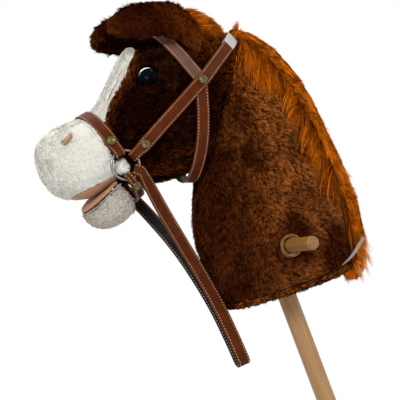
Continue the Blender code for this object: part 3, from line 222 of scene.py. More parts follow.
def finer(bm):
    bmesh.ops.subdivide_edges(bm, edges=bm.edges[:], cuts=1, use_grid_fill=True, smooth=0.0)
    bmesh.ops.triangulate(bm, faces=[f for f in bm.faces if len(f.verts) > 4])


def relaxed(bm, times, factor=0.5):
    for _ in range(times):
        bmesh.ops.smooth_vert(
            bm, verts=bm.verts[:], factor=factor, use_axis_x=True, use_axis_y=True, use_axis_z=True
        )


def settled(bm, depth, kept=()):
    """Draws a cloth surface in, so that its pile ends where the stuffed form does. What lies near the
    kept trees stays: the cloth's own inner side on the filling, and a hole's edge beside its edging."""
    bm.normal_update()
    for v in bm.verts:
        if all(tree.find_nearest(v.co, NEAR_FILLING)[0] is None for tree in kept):
            v.co -= v.normal * depth


def rumpled(bm, height, size, seed=0.0):
    """Pushes a surface in and out along its normals with soft noise."""
    bm.normal_update()
    offset = Vector((seed, seed, seed))
    for v in bm.verts:
        v.co += v.normal * noise.noise(v.co / size + offset) * height


def cloth(node, name, material, slot, depth=0.0, kept=(), relax=None, rumple=None, smooth=True):
    """A CAD node's surface, made finer and softened, as the piece that stands for it."""
    bm = joined(node)
    finer(bm)
    if relax:
        relaxed(bm, *relax)
    if depth:
        settled(bm, depth, kept)
    if rumple:
        rumpled(bm, *rumple)
    return piece(bm, name, material, stands_for=(node,), slot=slot, smooth=smooth)


def middle_of(bm):
    return sum((v.co for v in bm.verts), Vector()) / len(bm.verts)


def extents(bm, middle, axis):
    """How far a form reaches down and up an axis through its middle, and out from it."""
    steps = [v.co - middle for v in bm.verts]
    along = [step.dot(axis) for step in steps]
    return min(along), max(along), max((step - axis * a).length for step, a in zip(steps, along))


def main_axis(node):
    """The middle of a round CAD node, the way its flat ends face, and its extents."""
    bm = joined(node)
    bm.normal_update()
    spread = np.zeros((3, 3))
    for f in bm.faces:
        n = np.array(f.normal)
        spread += np.outer(n, n) * f.calc_area()
    axis = Vector(np.linalg.eigh(spread)[1][:, -1])
    middle = middle_of(bm)
    if axis.y * middle.y < 0.0:
        axis = -axis
    reach = extents(bm, middle, axis)
    bm.free()
    return middle, axis, *reach


def turned(profile, middle, axis, steps):
    """Spins a profile of (radius, height) points round an axis and closes its poles."""
    bm = bmesh.new()
    turn = Vector((0, 0, 1)).rotation_difference(axis).to_matrix()
    points = [bm.verts.new((radius, 0.0, height)) for radius, height in profile]
    edges = [bm.edges.new(pair) for pair in zip(points, points[1:])]
    bmesh.ops.spin(
        bm, geom=points + edges, cent=(0, 0, 0), axis=(0, 0, 1), angle=math.tau, steps=steps, use_merge=True
    )
    bmesh.ops.remove_doubles(bm, verts=bm.verts[:], dist=WELD)
    bmesh.ops.holes_fill(bm, edges=[e for e in bm.edges if e.is_boundary], sides=0)
    bmesh.ops.recalc_face_normals(bm, faces=bm.faces[:])
    layer = bm.verts.layers.float.new("rim")
    widest = max(radius for radius, _ in profile)
    for v in bm.verts:
        v[layer] = math.hypot(v.co.x, v.co.y) / widest
    bmesh.ops.rotate(bm, verts=bm.verts[:], cent=(0, 0, 0), matrix=turn)
    bmesh.ops.translate(bm, verts=bm.verts[:], vec=middle)
    return bm


def add(tree, kind, **values):
    """Adds a shader node and sets its properties, or its inputs by their names."""
    made = tree.nodes.new(kind)
    for key, value in values.items():
        if key in made.bl_rna.properties:
            setattr(made, key, value)
        else:
            made.inputs[key.replace("_", " ")].default_value = value
    return made


def mixed(tree, share, first, second):
    """A colour mix. Each of share, first and second is a socket or a plain value."""
    made = add(tree, "ShaderNodeMix", data_type="RGBA")
    for socket, value in ((made.inputs[0], share), (made.inputs[6], first), (made.inputs[7], second)):
        if isinstance(value, bpy.types.NodeSocket):
            tree.links.new(value, socket)
        else:
            socket.default_value = value if socket.type == "VALUE" else (*value[:3], 1.0)
    return made.outputs[2]


def ranged(tree, value, low, high, to_low=0.0, to_high=1.0):
    made = add(tree, "ShaderNodeMapRange", interpolation_type="SMOOTHSTEP")
    tree.links.new(value, made.inputs[0])
    for n, number in enumerate((low, high, to_low, to_high), 1):
        made.inputs[n].default_value = number
    return made.outputs[0]


def smooth_step(low, high, value):
    t = max(0.0, min(1.0, (value - low) / (high - low)))
    return t * t * (3.0 - 2.0 * t)


def underside(p, height=0.0):
    """Height of the plush's tilted underside below a place, or of a plane that far above it."""
    return NECK_BASE + BASE_RISE + height - BASE_SLOPE * p.x


def maths(tree, kind, first, second=0.0):
    made = add(tree, "ShaderNodeMath", operation=kind)
    for socket, value in zip(made.inputs, (first, second)):
        if isinstance(value, bpy.types.NodeSocket):
            tree.links.new(value, socket)
        else:
            socket.default_value = value
    return made.outputs[0]


def seen_directly(tree):
    """1 for rays from the camera, reflections and refractions, 0 for diffuse light."""
    path = add(tree, "ShaderNodeLightPath").outputs
    mirrored = maths(tree, "MAXIMUM", path["Is Glossy Ray"], path["Is Transmission Ray"])
    return maths(tree, "MAXIMUM", path["Is Camera Ray"], mirrored)


def noisy(tree, size, detail=3.0, stretch=None, seed=0.0):
    """Noise on Object coordinates whose lumps are about size metres across."""
    at = add(tree, "ShaderNodeTexCoord").outputs["Object"]
    place = add(tree, "ShaderNodeMapping")
    place.inputs["Location"].default_value = (seed, seed, seed)
    place.inputs["Scale"].default_value = stretch or (1, 1, 1)
    tree.links.new(at, place.inputs["Vector"])
    made = add(tree, "ShaderNodeTexNoise", Scale=1.0 / size, Detail=detail, Roughness=0.6)
    tree.links.new(place.outputs[0], made.inputs["Vector"])
    return made.outputs["Fac"]


def attribute(tree, name):
    return add(tree, "ShaderNodeAttribute", attribute_name=name).outputs["Fac"]


def new_group(name, inputs, outputs):
    """An empty shader group with named sockets. An input is (name, kind, default)."""
    tree = bpy.data.node_groups.new(name, "ShaderNodeTree")
    for label, kind, value in inputs:
        socket = tree.interface.new_socket(label, in_out="INPUT", socket_type=f"NodeSocket{kind}")
        socket.default_value = value
    for label, kind in outputs:
        tree.interface.new_socket(label, in_out="OUTPUT", socket_type=f"NodeSocket{kind}")
    return tree, add(tree, "NodeGroupInput").outputs, add(tree, "NodeGroupOutput").inputs


def pile_group():
    """Colour of long pile: dark roots, light tips, patches where it is brushed another way."""
    tree, given, out = new_group(
        "Pile tone",
        (("Root", "Color", (0, 0, 0, 1)), ("Tip", "Color", (1, 1, 1, 1)), ("Patch", "Color", (0, 0, 0, 1)),
         ("Shade", "Color", (0, 0, 0, 1)), ("Patch share", "Float", 0.5), ("Spread", "Float", 0.5)),
        (("Color", "Color"), ("Roughness", "Float")),
    )
    along = ranged(tree, attribute(tree, "tip"), 0.0, 0.95)
    tone = mixed(tree, along, given["Root"], given["Tip"])
    broad = ranged(tree, noisy(tree, 0.045, 2.0), 0.42, 0.62)
    small = ranged(tree, noisy(tree, 0.009, 2.0, seed=3.0), 0.35, 0.7)
    patch = maths(tree, "MULTIPLY", maths(tree, "MULTIPLY", broad, small), given["Patch share"])
    tone = mixed(tree, patch, tone, given["Patch"])
    # The shade attribute mixes in the Shade colour, brighter towards the tips. It carries painted shade on the
    # neck and the jaw, painted highlights along the blaze's edge, on the cheeks and at the ears' tips, and
    # plain tone at the crown, the ears' backs, the base, the forelock and the mane's loose locks.
    shaded = add(tree, "ShaderNodeVectorMath", operation="SCALE")
    tree.links.new(given["Shade"], shaded.inputs[0])
    tree.links.new(maths(tree, "ADD", maths(tree, "MULTIPLY", along, 1.2), 0.4), shaded.inputs["Scale"])
    tone = mixed(tree, attribute(tree, "shade"), tone, shaded.outputs[0])
    shade = maths(tree, "MULTIPLY", maths(tree, "SUBTRACT", attribute(tree, "lock"), 0.5), given["Spread"])
    bright = maths(tree, "ADD", shade, 1.0)
    scaled = add(tree, "ShaderNodeVectorMath", operation="SCALE")
    tree.links.new(tone, scaled.inputs[0])
    tree.links.new(bright, scaled.inputs["Scale"])
    tree.links.new(scaled.outputs[0], out["Color"])
    tree.links.new(ranged(tree, attribute(tree, "lock"), 0.0, 1.0, 0.55, 0.8), out["Roughness"])
    return tree


def nap_group():
    """Short nap and woven backing: mottled colour and a fine height."""
    tree, given, out = new_group(
        "Cloth nap",
        (("Color", "Color", (1, 1, 1, 1)), ("Shade", "Color", (0, 0, 0, 1))),
        (("Color", "Color"), ("Roughness", "Float"), ("Height", "Float")),
    )
    lumps = noisy(tree, 0.006, 4.0)
    fine = noisy(tree, 0.0012, 2.0, seed=5.0)
    tree.links.new(mixed(tree, ranged(tree, lumps, 0.35, 0.7), given["Shade"], given["Color"]), out["Color"])
    tree.links.new(ranged(tree, fine, 0.3, 0.7, 0.75, 0.95), out["Roughness"])
    tree.links.new(maths(tree, "ADD", fine, maths(tree, "MULTIPLY", lumps, 0.6)), out["Height"])
    return tree


def grain_group():
    """Leather grain: pebbles, soft creases and rims rubbed pale."""
    tree, given, out = new_group(
        "Leather grain",
        (("Color", "Color", (0.2, 0.06, 0.02, 1)), ("Deep", "Color", (0.1, 0.03, 0.01, 1)),
         ("Rubbed", "Color", (0.5, 0.3, 0.2, 1))),
        (("Color", "Color"), ("Roughness", "Float"), ("Height", "Float")),
    )
    at = add(tree, "ShaderNodeTexCoord").outputs["Object"]
    pebbles = add(tree, "ShaderNodeTexVoronoi", feature="F1", Scale=1400.0)
    tree.links.new(at, pebbles.inputs["Vector"])
    cloudy = noisy(tree, 0.012, 4.0)
    tone = mixed(tree, ranged(tree, cloudy, 0.35, 0.68), given["Deep"], given["Color"])
    rim = ranged(tree, attribute(tree, "rim"), 0.55, 1.0)
    worn = maths(tree, "MULTIPLY", rim, ranged(tree, noisy(tree, 0.004, 3.0, seed=2.0), 0.2, 0.6, 0.35, 0.9))
    tree.links.new(mixed(tree, worn, tone, given["Rubbed"]), out["Color"])
    tree.links.new(ranged(tree, cloudy, 0.3, 0.7, 0.34, 0.5), out["Roughness"])
    height = maths(tree, "ADD", pebbles.outputs["Distance"], maths(tree, "MULTIPLY", cloudy, 0.7))
    tree.links.new(height, out["Height"])
    return tree


def patina_group():
    """Old metal: bright where rubbed, dark in the hollows, with fine scratches."""
    tree, given, out = new_group(
        "Metal patina",
        (("Bright", "Color", (1, 1, 1, 1)), ("Dark", "Color", (0, 0, 0, 1)), ("Tarnish", "Float", 0.5)),
        (("Color", "Color"), ("Roughness", "Float"), ("Height", "Float")),
    )
    spots = ranged(tree, noisy(tree, 0.0016, 4.0), 0.35, 0.7)
    scratches = noisy(tree, 0.0006, 2.0, stretch=(1, 1, 0.12), seed=4.0)
    cover = maths(tree, "MULTIPLY", spots, given["Tarnish"])
    tree.links.new(mixed(tree, cover, given["Bright"], given["Dark"]), out["Color"])
    tree.links.new(maths(tree, "ADD", maths(tree, "MULTIPLY", cover, 0.35), 0.16), out["Roughness"])
    tree.links.new(maths(tree, "ADD", scratches, spots), out["Height"])
    return tree


def timber_group():
    """Wood: long streaks of grain with pores and a few darker specks."""
    tree, given, out = new_group(
        "Timber grain",
        (("Pale", "Color", (1, 1, 1, 1)), ("Streak", "Color", (0, 0, 0, 1)), ("Across", "Float", 0.0)),
        (("Color", "Color"), ("Roughness", "Float"), ("Height", "Float")),
    )
    streaks = noisy(tree, 0.004, 5.0, stretch=(1, 1, 0.05))
    turned_grain = noisy(tree, 0.004, 5.0, stretch=(1, 0.06, 1), seed=2.0)
    pick = maths(tree, "ADD", maths(tree, "MULTIPLY", streaks, maths(tree, "SUBTRACT", 1.0, given["Across"])),
                 maths(tree, "MULTIPLY", turned_grain, given["Across"]))
    fleck = ranged(tree, noisy(tree, 0.002, 1.0, seed=7.0), 0.68, 0.8)
    tone = mixed(tree, ranged(tree, pick, 0.4, 0.68), given["Pale"], given["Streak"])
    deep = mixed(tree, 0.5, given["Streak"], (0.1, 0.05, 0.02))
    tree.links.new(mixed(tree, maths(tree, "MULTIPLY", fleck, 0.35), tone, deep), out["Color"])
    tree.links.new(ranged(tree, pick, 0.3, 0.7, 0.42, 0.6), out["Roughness"])
    tree.links.new(pick, out["Height"])
    return tree


def weave_group():
    """Woven tape: threads over and under, by Object coordinates."""
    tree, given, out = new_group(
        "Weave",
        (("Color", "Color", (1, 1, 1, 1)), ("Shade", "Color", (0.5, 0.5, 0.5, 1)),
         ("Threads", "Float", 700.0)),
        (("Color", "Color"), ("Height", "Float")),
    )
    at = add(tree, "ShaderNodeTexCoord").outputs["Object"]
    waves = []
    for way in ("X", "Y", "Z"):
        wave = add(tree, "ShaderNodeTexWave", bands_direction=way, Distortion=0.4)
        tree.links.new(at, wave.inputs["Vector"])
        tree.links.new(given["Threads"], wave.inputs["Scale"])
        waves.append(wave.outputs["Fac"])
    height = maths(tree, "MULTIPLY", maths(tree, "ADD", waves[0], waves[2]), waves[1])
    tree.links.new(mixed(tree, ranged(tree, height, 0.0, 1.2), given["Shade"], given["Color"]), out["Color"])
    tree.links.new(height, out["Height"])
    return tree


GROUP_MAKERS = {
    "Pile tone": pile_group,
    "Cloth nap": nap_group,
    "Leather grain": grain_group,
    "Metal patina": patina_group,
    "Timber grain": timber_group,
    "Weave": weave_group,
}


def finish_of(name, group, bump=0.0, bump_depth=0.0003, sockets=(), **values):
    """A material whose pattern comes from one shared group, built the first time it is asked for."""
    if name in bpy.data.materials:
        return bpy.data.materials[name]
    made = bpy.data.materials.new(name)
    made.use_nodes = True
    tree = made.node_tree
    shader = tree.nodes["Principled BSDF"]
    for key, value in dict(sockets).items():
        shader.inputs[key].default_value = value
    shared = bpy.data.node_groups.get(group) or GROUP_MAKERS[group]()
    pattern = add(tree, "ShaderNodeGroup", node_tree=shared)
    for key, value in values.items():
        socket = pattern.inputs[key.replace("_", " ")]
        socket.default_value = value if socket.type == "VALUE" else (*value[:3], 1.0)
    tree.links.new(pattern.outputs["Color"], shader.inputs["Base Color"])
    if "Roughness" in pattern.outputs:
        tree.links.new(pattern.outputs["Roughness"], shader.inputs["Roughness"])
    if bump:
        relief = add(tree, "ShaderNodeBump", Strength=bump, Distance=bump_depth)
        tree.links.new(pattern.outputs["Height"], relief.inputs["Height"])
        tree.links.new(relief.outputs["Normal"], shader.inputs["Normal"])
    return made


# Each kind of pile: its slot, its colours (root, tip, patch, shade), share of patches and spread of tones.
PILES = {
    "brown pile": ("plush", "pile_root", "pile_tip", "pile_patch", "pile_dark", 0.6, 2.0),
    "face pile": ("plush", "face_root", "face_tip", "face_patch", "poll", 0.6, 1.5),
    "ear pile": ("plush", "ear_root", "ear_tip", "ear_root", "poll", 0.6, 1.7),
    "mane pile": ("mane_pile", "mane_root", "mane_tip", "mane_streak", "mane_shade", 0.8, 1.7),
    "mane ends": ("mane_pile", "mane_tip", "mane_straw", "mane_tip", "mane_shade", 0.5, 1.0),
    "white pile": ("white_plush", "white_root", "white_tip", "white_shade", "white_dark", 0.2, 0.06),
}
WHITE_SHEEN = {"Specular IOR Level": 0.3, "Sheen Weight": 0.5, "Sheen Roughness": 0.4}


def pile(dress, kind):
    """The material and the slot of one kind of pile."""
    slot, *colours, patches, spread = PILES[kind]
    root, tip, patch, shade = (getattr(dress, name) for name in colours)
    sockets = WHITE_SHEEN if slot == "white_plush" else MATT
    return finish_of(kind, "Pile tone", Root=root, Tip=tip, Patch=patch, Shade=shade, Patch_share=patches,
                     Spread=spread, sockets=sockets), slot


def plush_backing(dress):
    return finish_of("plush backing", "Cloth nap", bump=0.6, bump_depth=0.001, Color=dress.face_root,
                     Shade=[c * 0.5 for c in dress.face_root], sockets=MATT)


def neck_backing(dress):
    return finish_of("neck backing", "Cloth nap", bump=0.6, bump_depth=0.001, Color=dress.pile_patch,
                     Shade=dress.pile_root, sockets=MATT)


def white_backing(dress):
    return finish_of("white plush backing", "Cloth nap", bump=0.5, bump_depth=0.001, Color=dress.white_tip,
                     Shade=dress.white_root, sockets={"Specular IOR Level": 0.1})


def leather(dress):
    return finish_of("stitched leatherette", "Leather grain", bump=0.25, bump_depth=0.0002,
                     Color=dress.leather, Deep=dress.leather_deep, Rubbed=dress.leather_rubbed,
                     sockets={"Specular IOR Level": 0.06})


# The browband's pale colour is a painted sheen: its gloss where it catches the light, painted into the colour.
# Its rims still take the rubbed rim colour.
def painted_sheen_leather(dress):
    return finish_of("leatherette with painted sheen", "Leather grain", bump=0.25, bump_depth=0.0002,
                     Color=dress.leather_painted_sheen, Deep=[c * 0.7 for c in dress.leather_painted_sheen],
                     Rubbed=dress.leather_rubbed, sockets={"Specular IOR Level": 0.1})


def leather_lining():
    return finish_of("strap lining", "Leather grain", bump=0.2, bump_depth=0.0002,
                     Color=(0.022, 0.014, 0.012), Deep=(0.009, 0.006, 0.006), Rubbed=(0.04, 0.022, 0.016),
                     sockets={"Specular IOR Level": 0.15})


def thread(dress):
    return finish_of("waxed thread", "Cloth nap", bump=0.3, bump_depth=0.0001, Color=dress.thread,
                     Shade=[c * 0.7 for c in dress.thread])


def sampled(bm, how_many, seed, wanted=None):
    """Places spread evenly by area over a mesh, with their smooth normals."""
    bmesh.ops.triangulate(bm, faces=bm.faces[:])
    bm.normal_update()
    corners = np.array([[v.index for v in f.verts] for f in bm.faces])
    places = np.array([v.co[:] for v in bm.verts])
    normals = np.array([v.normal[:] for v in bm.verts])
    flat = np.array([f.normal[:] for f in bm.faces])
    area = np.array([f.calc_area() for f in bm.faces])
    if wanted is not None:
        area = area * np.array([wanted(Vector(c)) for c in places[corners].mean(1)])
    rng = np.random.default_rng(seed)
    face = rng.choice(len(area), how_many, p=area / area.sum())
    shares = rng.dirichlet((1, 1, 1), how_many)
    spots = (places[corners[face]] * shares[:, :, None]).sum(1)
    up = (normals[corners[face]] * shares[:, :, None]).sum(1) * 0.5 + flat[face]
    up /= np.linalg.norm(up, axis=1)[:, None]
    return spots, up, rng


def gathered(spots, rng, size):
    """For each place, the number of the tuft that it belongs to."""
    chosen = rng.choice(len(spots), max(1, len(spots) // size), replace=False)
    tree = KDTree(len(chosen))
    for n, c in enumerate(chosen):
        tree.insert(spots[c], n)
    tree.balance()
    return np.array([tree.find(p)[1] for p in spots]), spots[chosen]


def clear_of(paths, up, straps):
    """Which hairs neither run into a strap nor lie over one."""
    keep = np.ones(len(paths), bool)
    for n, path in enumerate(paths):
        for a, b in ((path[0], path[len(path) // 2]), (path[len(path) // 2], path[-1])):
            step = Vector(b - a)
            if straps.ray_cast(Vector(a), step, step.length)[0] is not None:
                keep[n] = False
        if straps.ray_cast(Vector(path[-1]), -Vector(up[n]), OVER_STRAP)[0] is not None:
            keep[n] = False
    return keep


def hairs(name, paths, across, width, tone, material, slot, shade=None):
    """Flat tapering hairs along paths, each two rows of points that meet at the tip."""
    if shade is None:
        shade = np.zeros(len(paths))
    number, levels = paths.shape[:2]
    share = np.linspace(0.0, 1.0, levels)[:-1]
    half = (width * 0.5)[:, None, None] * (1.0 - 0.75 * share**1.5)[None, :, None]
    left = paths[:, :-1] - across[:, None, :] * half
    right = paths[:, :-1] + across[:, None, :] * half
    rows = np.stack([left, right], 2).reshape(number, -1, 3)
    verts = np.concatenate([rows, paths[:, -1:]], 1)
    per = verts.shape[1]
    quads = np.array([[2 * k, 2 * k + 1, 2 * k + 3, 2 * k + 2] for k in range(levels - 2)])
    start = np.arange(number)[:, None] * per
    quad_loops = (start[:, :, None] + quads[None]).reshape(number, -1)
    tip_loops = start + np.array([[per - 3, per - 2, per - 1]])
    loops = np.concatenate([quad_loops, tip_loops], 1).ravel()
    sizes = np.tile(np.array([4] * (levels - 2) + [3]), number)
    mesh = bpy.data.meshes.new(name)
    mesh.vertices.add(number * per)
    mesh.vertices.foreach_set("co", verts.ravel())
    mesh.loops.add(len(loops))
    mesh.loops.foreach_set("vertex_index", loops)
    mesh.polygons.add(len(sizes))
    mesh.polygons.foreach_set("loop_start", np.concatenate([[0], np.cumsum(sizes)[:-1]]))
    mesh.update(calc_edges=True)
    along = np.concatenate([np.repeat(share, 2), [1.0]])
    for label, values in (
        ("tip", np.tile(along, number)), ("lock", np.repeat(tone, per)), ("shade", np.repeat(shade, per))
    ):
        mesh.attributes.new(label, "FLOAT", "POINT").data.foreach_set("value", values.astype(np.float32))
    return piece(mesh, name, material, slot=slot)


def grown(name, source, how_many, long, flow, material, slot, straps, covers, wide=HAIR_WIDTH,
          seed=1, lift=0.45, lie=0.2, mess=0.5, tuft=11, gather=0.7, wanted=None, levels=3, sink=PILE_DEPTH,
          shade=None, floor=None, tumble=0.45, only=None, growth=None):
    """Grows pile on a mesh. flow gives the way the pile is brushed at a place; lift and lie say how
    far it stands up at its root and its tip, and gather how far a tuft's tips draw together."""
    spots, up, rng = sampled(source, how_many, seed, wanted)
    source.free()
    bare = np.array([covers.ray_cast(Vector(p + n * 0.0003), Vector(n), UNDER_COVER)[0] is None
                     and (only is None or only(Vector(p))) for p, n in zip(spots, up)])
    spots, up = spots[bare], up[bare]
    tuft_of, tuft_spots = gathered(spots, rng, tuft)
    swirl = np.array([noise.noise_vector(Vector(p) / 0.02)[:] for p in tuft_spots])
    fine = np.array([noise.noise_vector(Vector(p) / 0.006)[:] for p in tuft_spots])
    brushed = np.array([flow(Vector(p))[:] for p in tuft_spots])
    drift = brushed + swirl * mess + fine * mess * 0.7 + rng.normal(0, mess * 0.25, brushed.shape)
    way = drift[tuft_of] + rng.normal(0, mess * 0.22, up.shape)
    way -= up * (way * up).sum(1)[:, None]
    way /= np.maximum(np.linalg.norm(way, axis=1), 1e-6)[:, None]
    size = long * rng.uniform(0.65, 1.1, len(spots)) * (0.8 + 0.4 * rng.random(len(tuft_spots)))[tuft_of]
    if growth:
        size = size * np.array([growth(Vector(p)) for p in spots])
    tip_spot = tuft_spots[tuft_of]
    root_way = way * (1 - lift) + up * lift
    tip_way = way * (1 - lie) + up * lie
    share = np.linspace(0, 1, levels)[None, :, None]
    mid = spots[:, None] + root_way[:, None] * size[:, None, None] * 0.5
    end = mid + tip_way[:, None] * size[:, None, None] * 0.5
    tuft_end = tip_spot[:, None] + (end - spots[:, None])
    end = end * (1 - gather) + tuft_end * gather
    start = spots[:, None]
    paths = start * (1 - share) ** 2 + mid * 2 * share * (1 - share) + end * share**2 - up[:, None] * sink
    if floor:
        lowest = np.array([floor(Vector(p)) for p in spots])
        short = np.clip((spots[:, 2] - lowest) / np.maximum(spots[:, 2] - paths[:, -1, 2], 1e-6), 0.15, 1.0)
        short = np.where(paths[:, -1, 2] < lowest, short, 1.0)[:, None, None]
        paths = paths[:, :1] + (paths - paths[:, :1]) * short
    keep = clear_of(paths, up, straps)
    paths, up, tuft_of = paths[keep], up[keep], tuft_of[keep]
    run = paths[:, -1] - paths[:, 0]
    across = np.cross(run, up)
    across /= np.maximum(np.linalg.norm(across, axis=1), 1e-9)[:, None]
    across += up * rng.normal(0, tumble, len(up))[:, None]
    across /= np.linalg.norm(across, axis=1)[:, None]
    tone = 0.6 * rng.random(len(tuft_spots))[tuft_of] + 0.4 * rng.random(len(up))
    width = wide * rng.uniform(0.7, 1.25, len(up))
    shades = np.array([shade(Vector(p)) for p in paths[:, 0]]) if shade else None
    return hairs(name, paths, across, width, tone, material, slot, shade=shades)


def end_faces(bm, bends):
    """The corners of a strap solid's two end faces, the two of a width side by side."""
    found = []
    for e in bm.edges:
        if len(e.link_faces) != 2 or bends[e] > FLAT:
            continue
        sides = [side for face in e.link_faces for side in face.edges if side is not e]
        if min(bends[side] for side in sides) > SQUARE:
            third, fourth = (next(v for v in face.verts if v not in e.verts) for face in e.link_faces)
            row = [e.verts[0], third, e.verts[1], fourth]
            wide = (row[0].co - row[1].co).length > (row[1].co - row[2].co).length
            found.append(row if wide else row[1:] + row[:1])
    return found


def chain_from(corner, first, last, bends):
    """Follows a strap's corner line, by sharpness and heading, or gives None where it gets lost."""
    chain = [corner]
    while chain[-1] not in last:
        here = chain[-1]
        ways = {e.other_vert(here): bends[e] for e in here.link_edges}
        if len(chain) > 1:
            heading = (here.co - chain[-2].co).normalized()
            ways = {w: bend * (w.co - here.co).normalized().dot(heading) for w, bend in ways.items()}
        best = max((w for w in ways if w not in first and w not in chain), key=ways.get, default=None)
        if best is None or (len(chain) > 1 and ways[best] < LOST):
            return None
        chain.append(best)
    return chain


def across_from(near, beside, others):
    """The two corner lines on a strap's far rim, whose corners square each row of the near rim's two."""
    wide = None
    made = []
    for b, c in zip(near, beside):

        def misfit(pair):
            side, other = pair[0].co - b.co, pair[1].co - c.co
            drift = 0.0 if wide is None else abs(side.length - wide) * 0.3
            return (side - other).length + abs(side.normalized().dot(c.co - b.co)) + drift + side.length * 0.1

        spread = [v for v in others if ROW_WIDTHS[0] < (v.co - b.co).length < ROW_WIDTHS[1]]
        most = (c.co - b.co).length * 1.05
        pairs = [(v, w) for v in spread for w in others if v is not w and (w.co - v.co).length < most]
        best = min(pairs, key=misfit)
        wide = (best[0].co - b.co).length
        made.append(best)
    return zip(*made)


def strap_rows(node):
    """The rows of a strap's four corners, followed along the edges of its CAD solid."""
    bm = joined(node)
    bends = {e: e.calc_face_angle(0.0) for e in bm.edges}
    first, last = end_faces(bm, bends)
    chains = [chain_from(v, first, last, bends) for v in first]
    if None in chains:
        near = 1 if chains[1] and chains[2] else 3
        beside = (near + 1) % 4
        taken = {*chains[near], *chains[beside]}
        others = [v for v in bm.verts if v not in taken]
        chains[near - 1], chains[(beside + 1) % 4] = across_from(chains[near], chains[beside], others)
    chains = [[v.co.copy() for v in chain] for chain in chains]
    bm.free()
    shortest = min(chains, key=len)
    for chain in chains:
        while len(chain) > len(shortest):

            def apart(left_out):
                kept = chain[:left_out] + chain[left_out + 1:]
                return sum((v - w).length for v, w in zip(kept, shortest))

            del chain[min(range(1, len(chain) - 1), key=apart)]
    return [list(row) for row in zip(*chains)]


def outward(rows, inside):
    """Puts the two corners of the outer face first in each row."""
    middle = rows[len(rows) // 2]
    outer = (middle[0] + middle[1]) / 2
    inner = (middle[2] + middle[3]) / 2
    if (outer - inside).length < (inner - inside).length:
        rows = [[r[2], r[3], r[0], r[1]] for r in rows]
    return rows


def eased(rows):
    """More rows on smooth curves through the given ones."""
    made = []
    for n in range(len(rows) - 1):
        before, after = rows[max(n - 1, 0)], rows[min(n + 2, len(rows) - 1)]
        for k in range(ROWS_BETWEEN):
            t = k / ROWS_BETWEEN
            spots = []
            for a, b, c, d in zip(before, rows[n], rows[n + 1], after):
                spots.append(b + (c - a) * t / 2 + (a * 2 - b * 5 + c * 4 - d) * t * t / 2
                             + (b * 3 - a - c * 3 + d) * t**3 / 2)
            made.append(spots)
    made.append(rows[-1])
    return made


OUTER_SHARES = (0.0, 0.02, 0.07, 0.16, 0.5, 0.84, 0.93, 0.98, 1.0)
OUTER_SINKS = (0.0006, 0.00015, 0.0, 0.00012, 0.0, 0.00012, 0.0, 0.00015, 0.0006)
OUTER_RIMS = (1.0, 1.0, 0.9, 0.0, 0.0, 0.0, 0.9, 1.0, 1.0)
INNER_SHARES = (0.0, 0.04, 0.5, 0.96, 1.0)
INNER_SINKS = (0.0004, 0.0, 0.0, 0.0, 0.0004)


def strap_section(row):
    """Points round a strap's section: a rounded rim, a stitched channel and a full middle."""
    a, b, c, d = row
    thick = ((d - a) + (c - b)) / 2
    inward = thick.normalized()
    points = [a.lerp(b, s) + inward * sink for s, sink in zip(OUTER_SHARES, OUTER_SINKS)]
    points += [c.lerp(d, s) - inward * sink for s, sink in zip(INNER_SHARES, INNER_SINKS)]
    return points


def swept(sections, rims):
    """Carries a ring of points from section to section and closes both ends."""
    bm = bmesh.new()
    rim = bm.verts.layers.float.new("rim")
    ring = [bm.verts.new(p) for p in sections[0]]
    edges = [bm.edges.new((ring[n - 1], ring[n])) for n in range(len(ring))]
    for v, value in zip(ring, rims):
        v[rim] = value
    for section in sections[1:]:
        drawn_out = bmesh.ops.extrude_edge_only(bm, edges=edges)["geom"]
        made = {v for v in drawn_out if isinstance(v, bmesh.types.BMVert)}
        ahead = [next(e.other_vert(v) for e in v.link_edges if e.other_vert(v) in made) for v in ring]
        for v, p, value in zip(ahead, section, rims):
            v.co = p
            v[rim] = value
        ring = ahead
        edges = [next(e for e in v.link_edges if e.other_vert(v) is ring[n - 1]) for n, v in enumerate(ring)]
    bmesh.ops.holes_fill(bm, edges=[e for e in bm.edges if e.is_boundary], sides=0)
    bmesh.ops.recalc_face_normals(bm, faces=bm.faces[:])
    return bm


def stamped(name, dress, spots, body):
    """Puts one stitch at each place, given as a matrix."""
    bm = bmesh.new()
    bmesh.ops.create_icosphere(bm, subdivisions=1, radius=0.5)
    bmesh.ops.scale(bm, verts=bm.verts[:], vec=(dress.stitch_long, STITCH_WIDTH, STITCH_WIDTH))
    base = bpy.data.meshes.new(name + "_one")
    bm.to_mesh(base)
    bm.free()
    whole = bmesh.new()
    for place in spots:
        copy = base.copy()
        copy.transform(place)
        whole.from_mesh(copy)
        bpy.data.meshes.remove(copy)
    bpy.data.meshes.remove(base)
    return piece(whole, name, thread(dress), body=body, slot="leatherette")


def stitch_places(rows, dress):
    """Where each stitch lies: along both rims of the strap's outer and inner face."""
    places = []
    for first, second, sign in ((0, 1, 1.0), (3, 2, -1.0)):
        for near, far in ((first, second), (second, first)):
            walked, due = 0.0, dress.stitch_gap
            for n in range(len(rows) - 1):
                here, there = rows[n], rows[n + 1]
                a = here[near] + (here[far] - here[near]).normalized() * dress.stitch_in
                b = there[near] + (there[far] - there[near]).normalized() * dress.stitch_in
                run = (b - a).length
                face = (here[0] + here[1] - here[2] - here[3]).normalized() * sign
                while run > 1e-6 and due < walked + run:
                    spot = a.lerp(b, (due - walked) / run)
                    along = (b - a).normalized()
                    out = (face - along * face.dot(along)).normalized()
                    turn = Matrix((along, out.cross(along), out)).transposed().to_4x4()
                    places.append(Matrix.Translation(spot - out * STITCH_SINK) @ turn)
                    due += dress.stitch_long + dress.stitch_gap
                walked += run
    return places


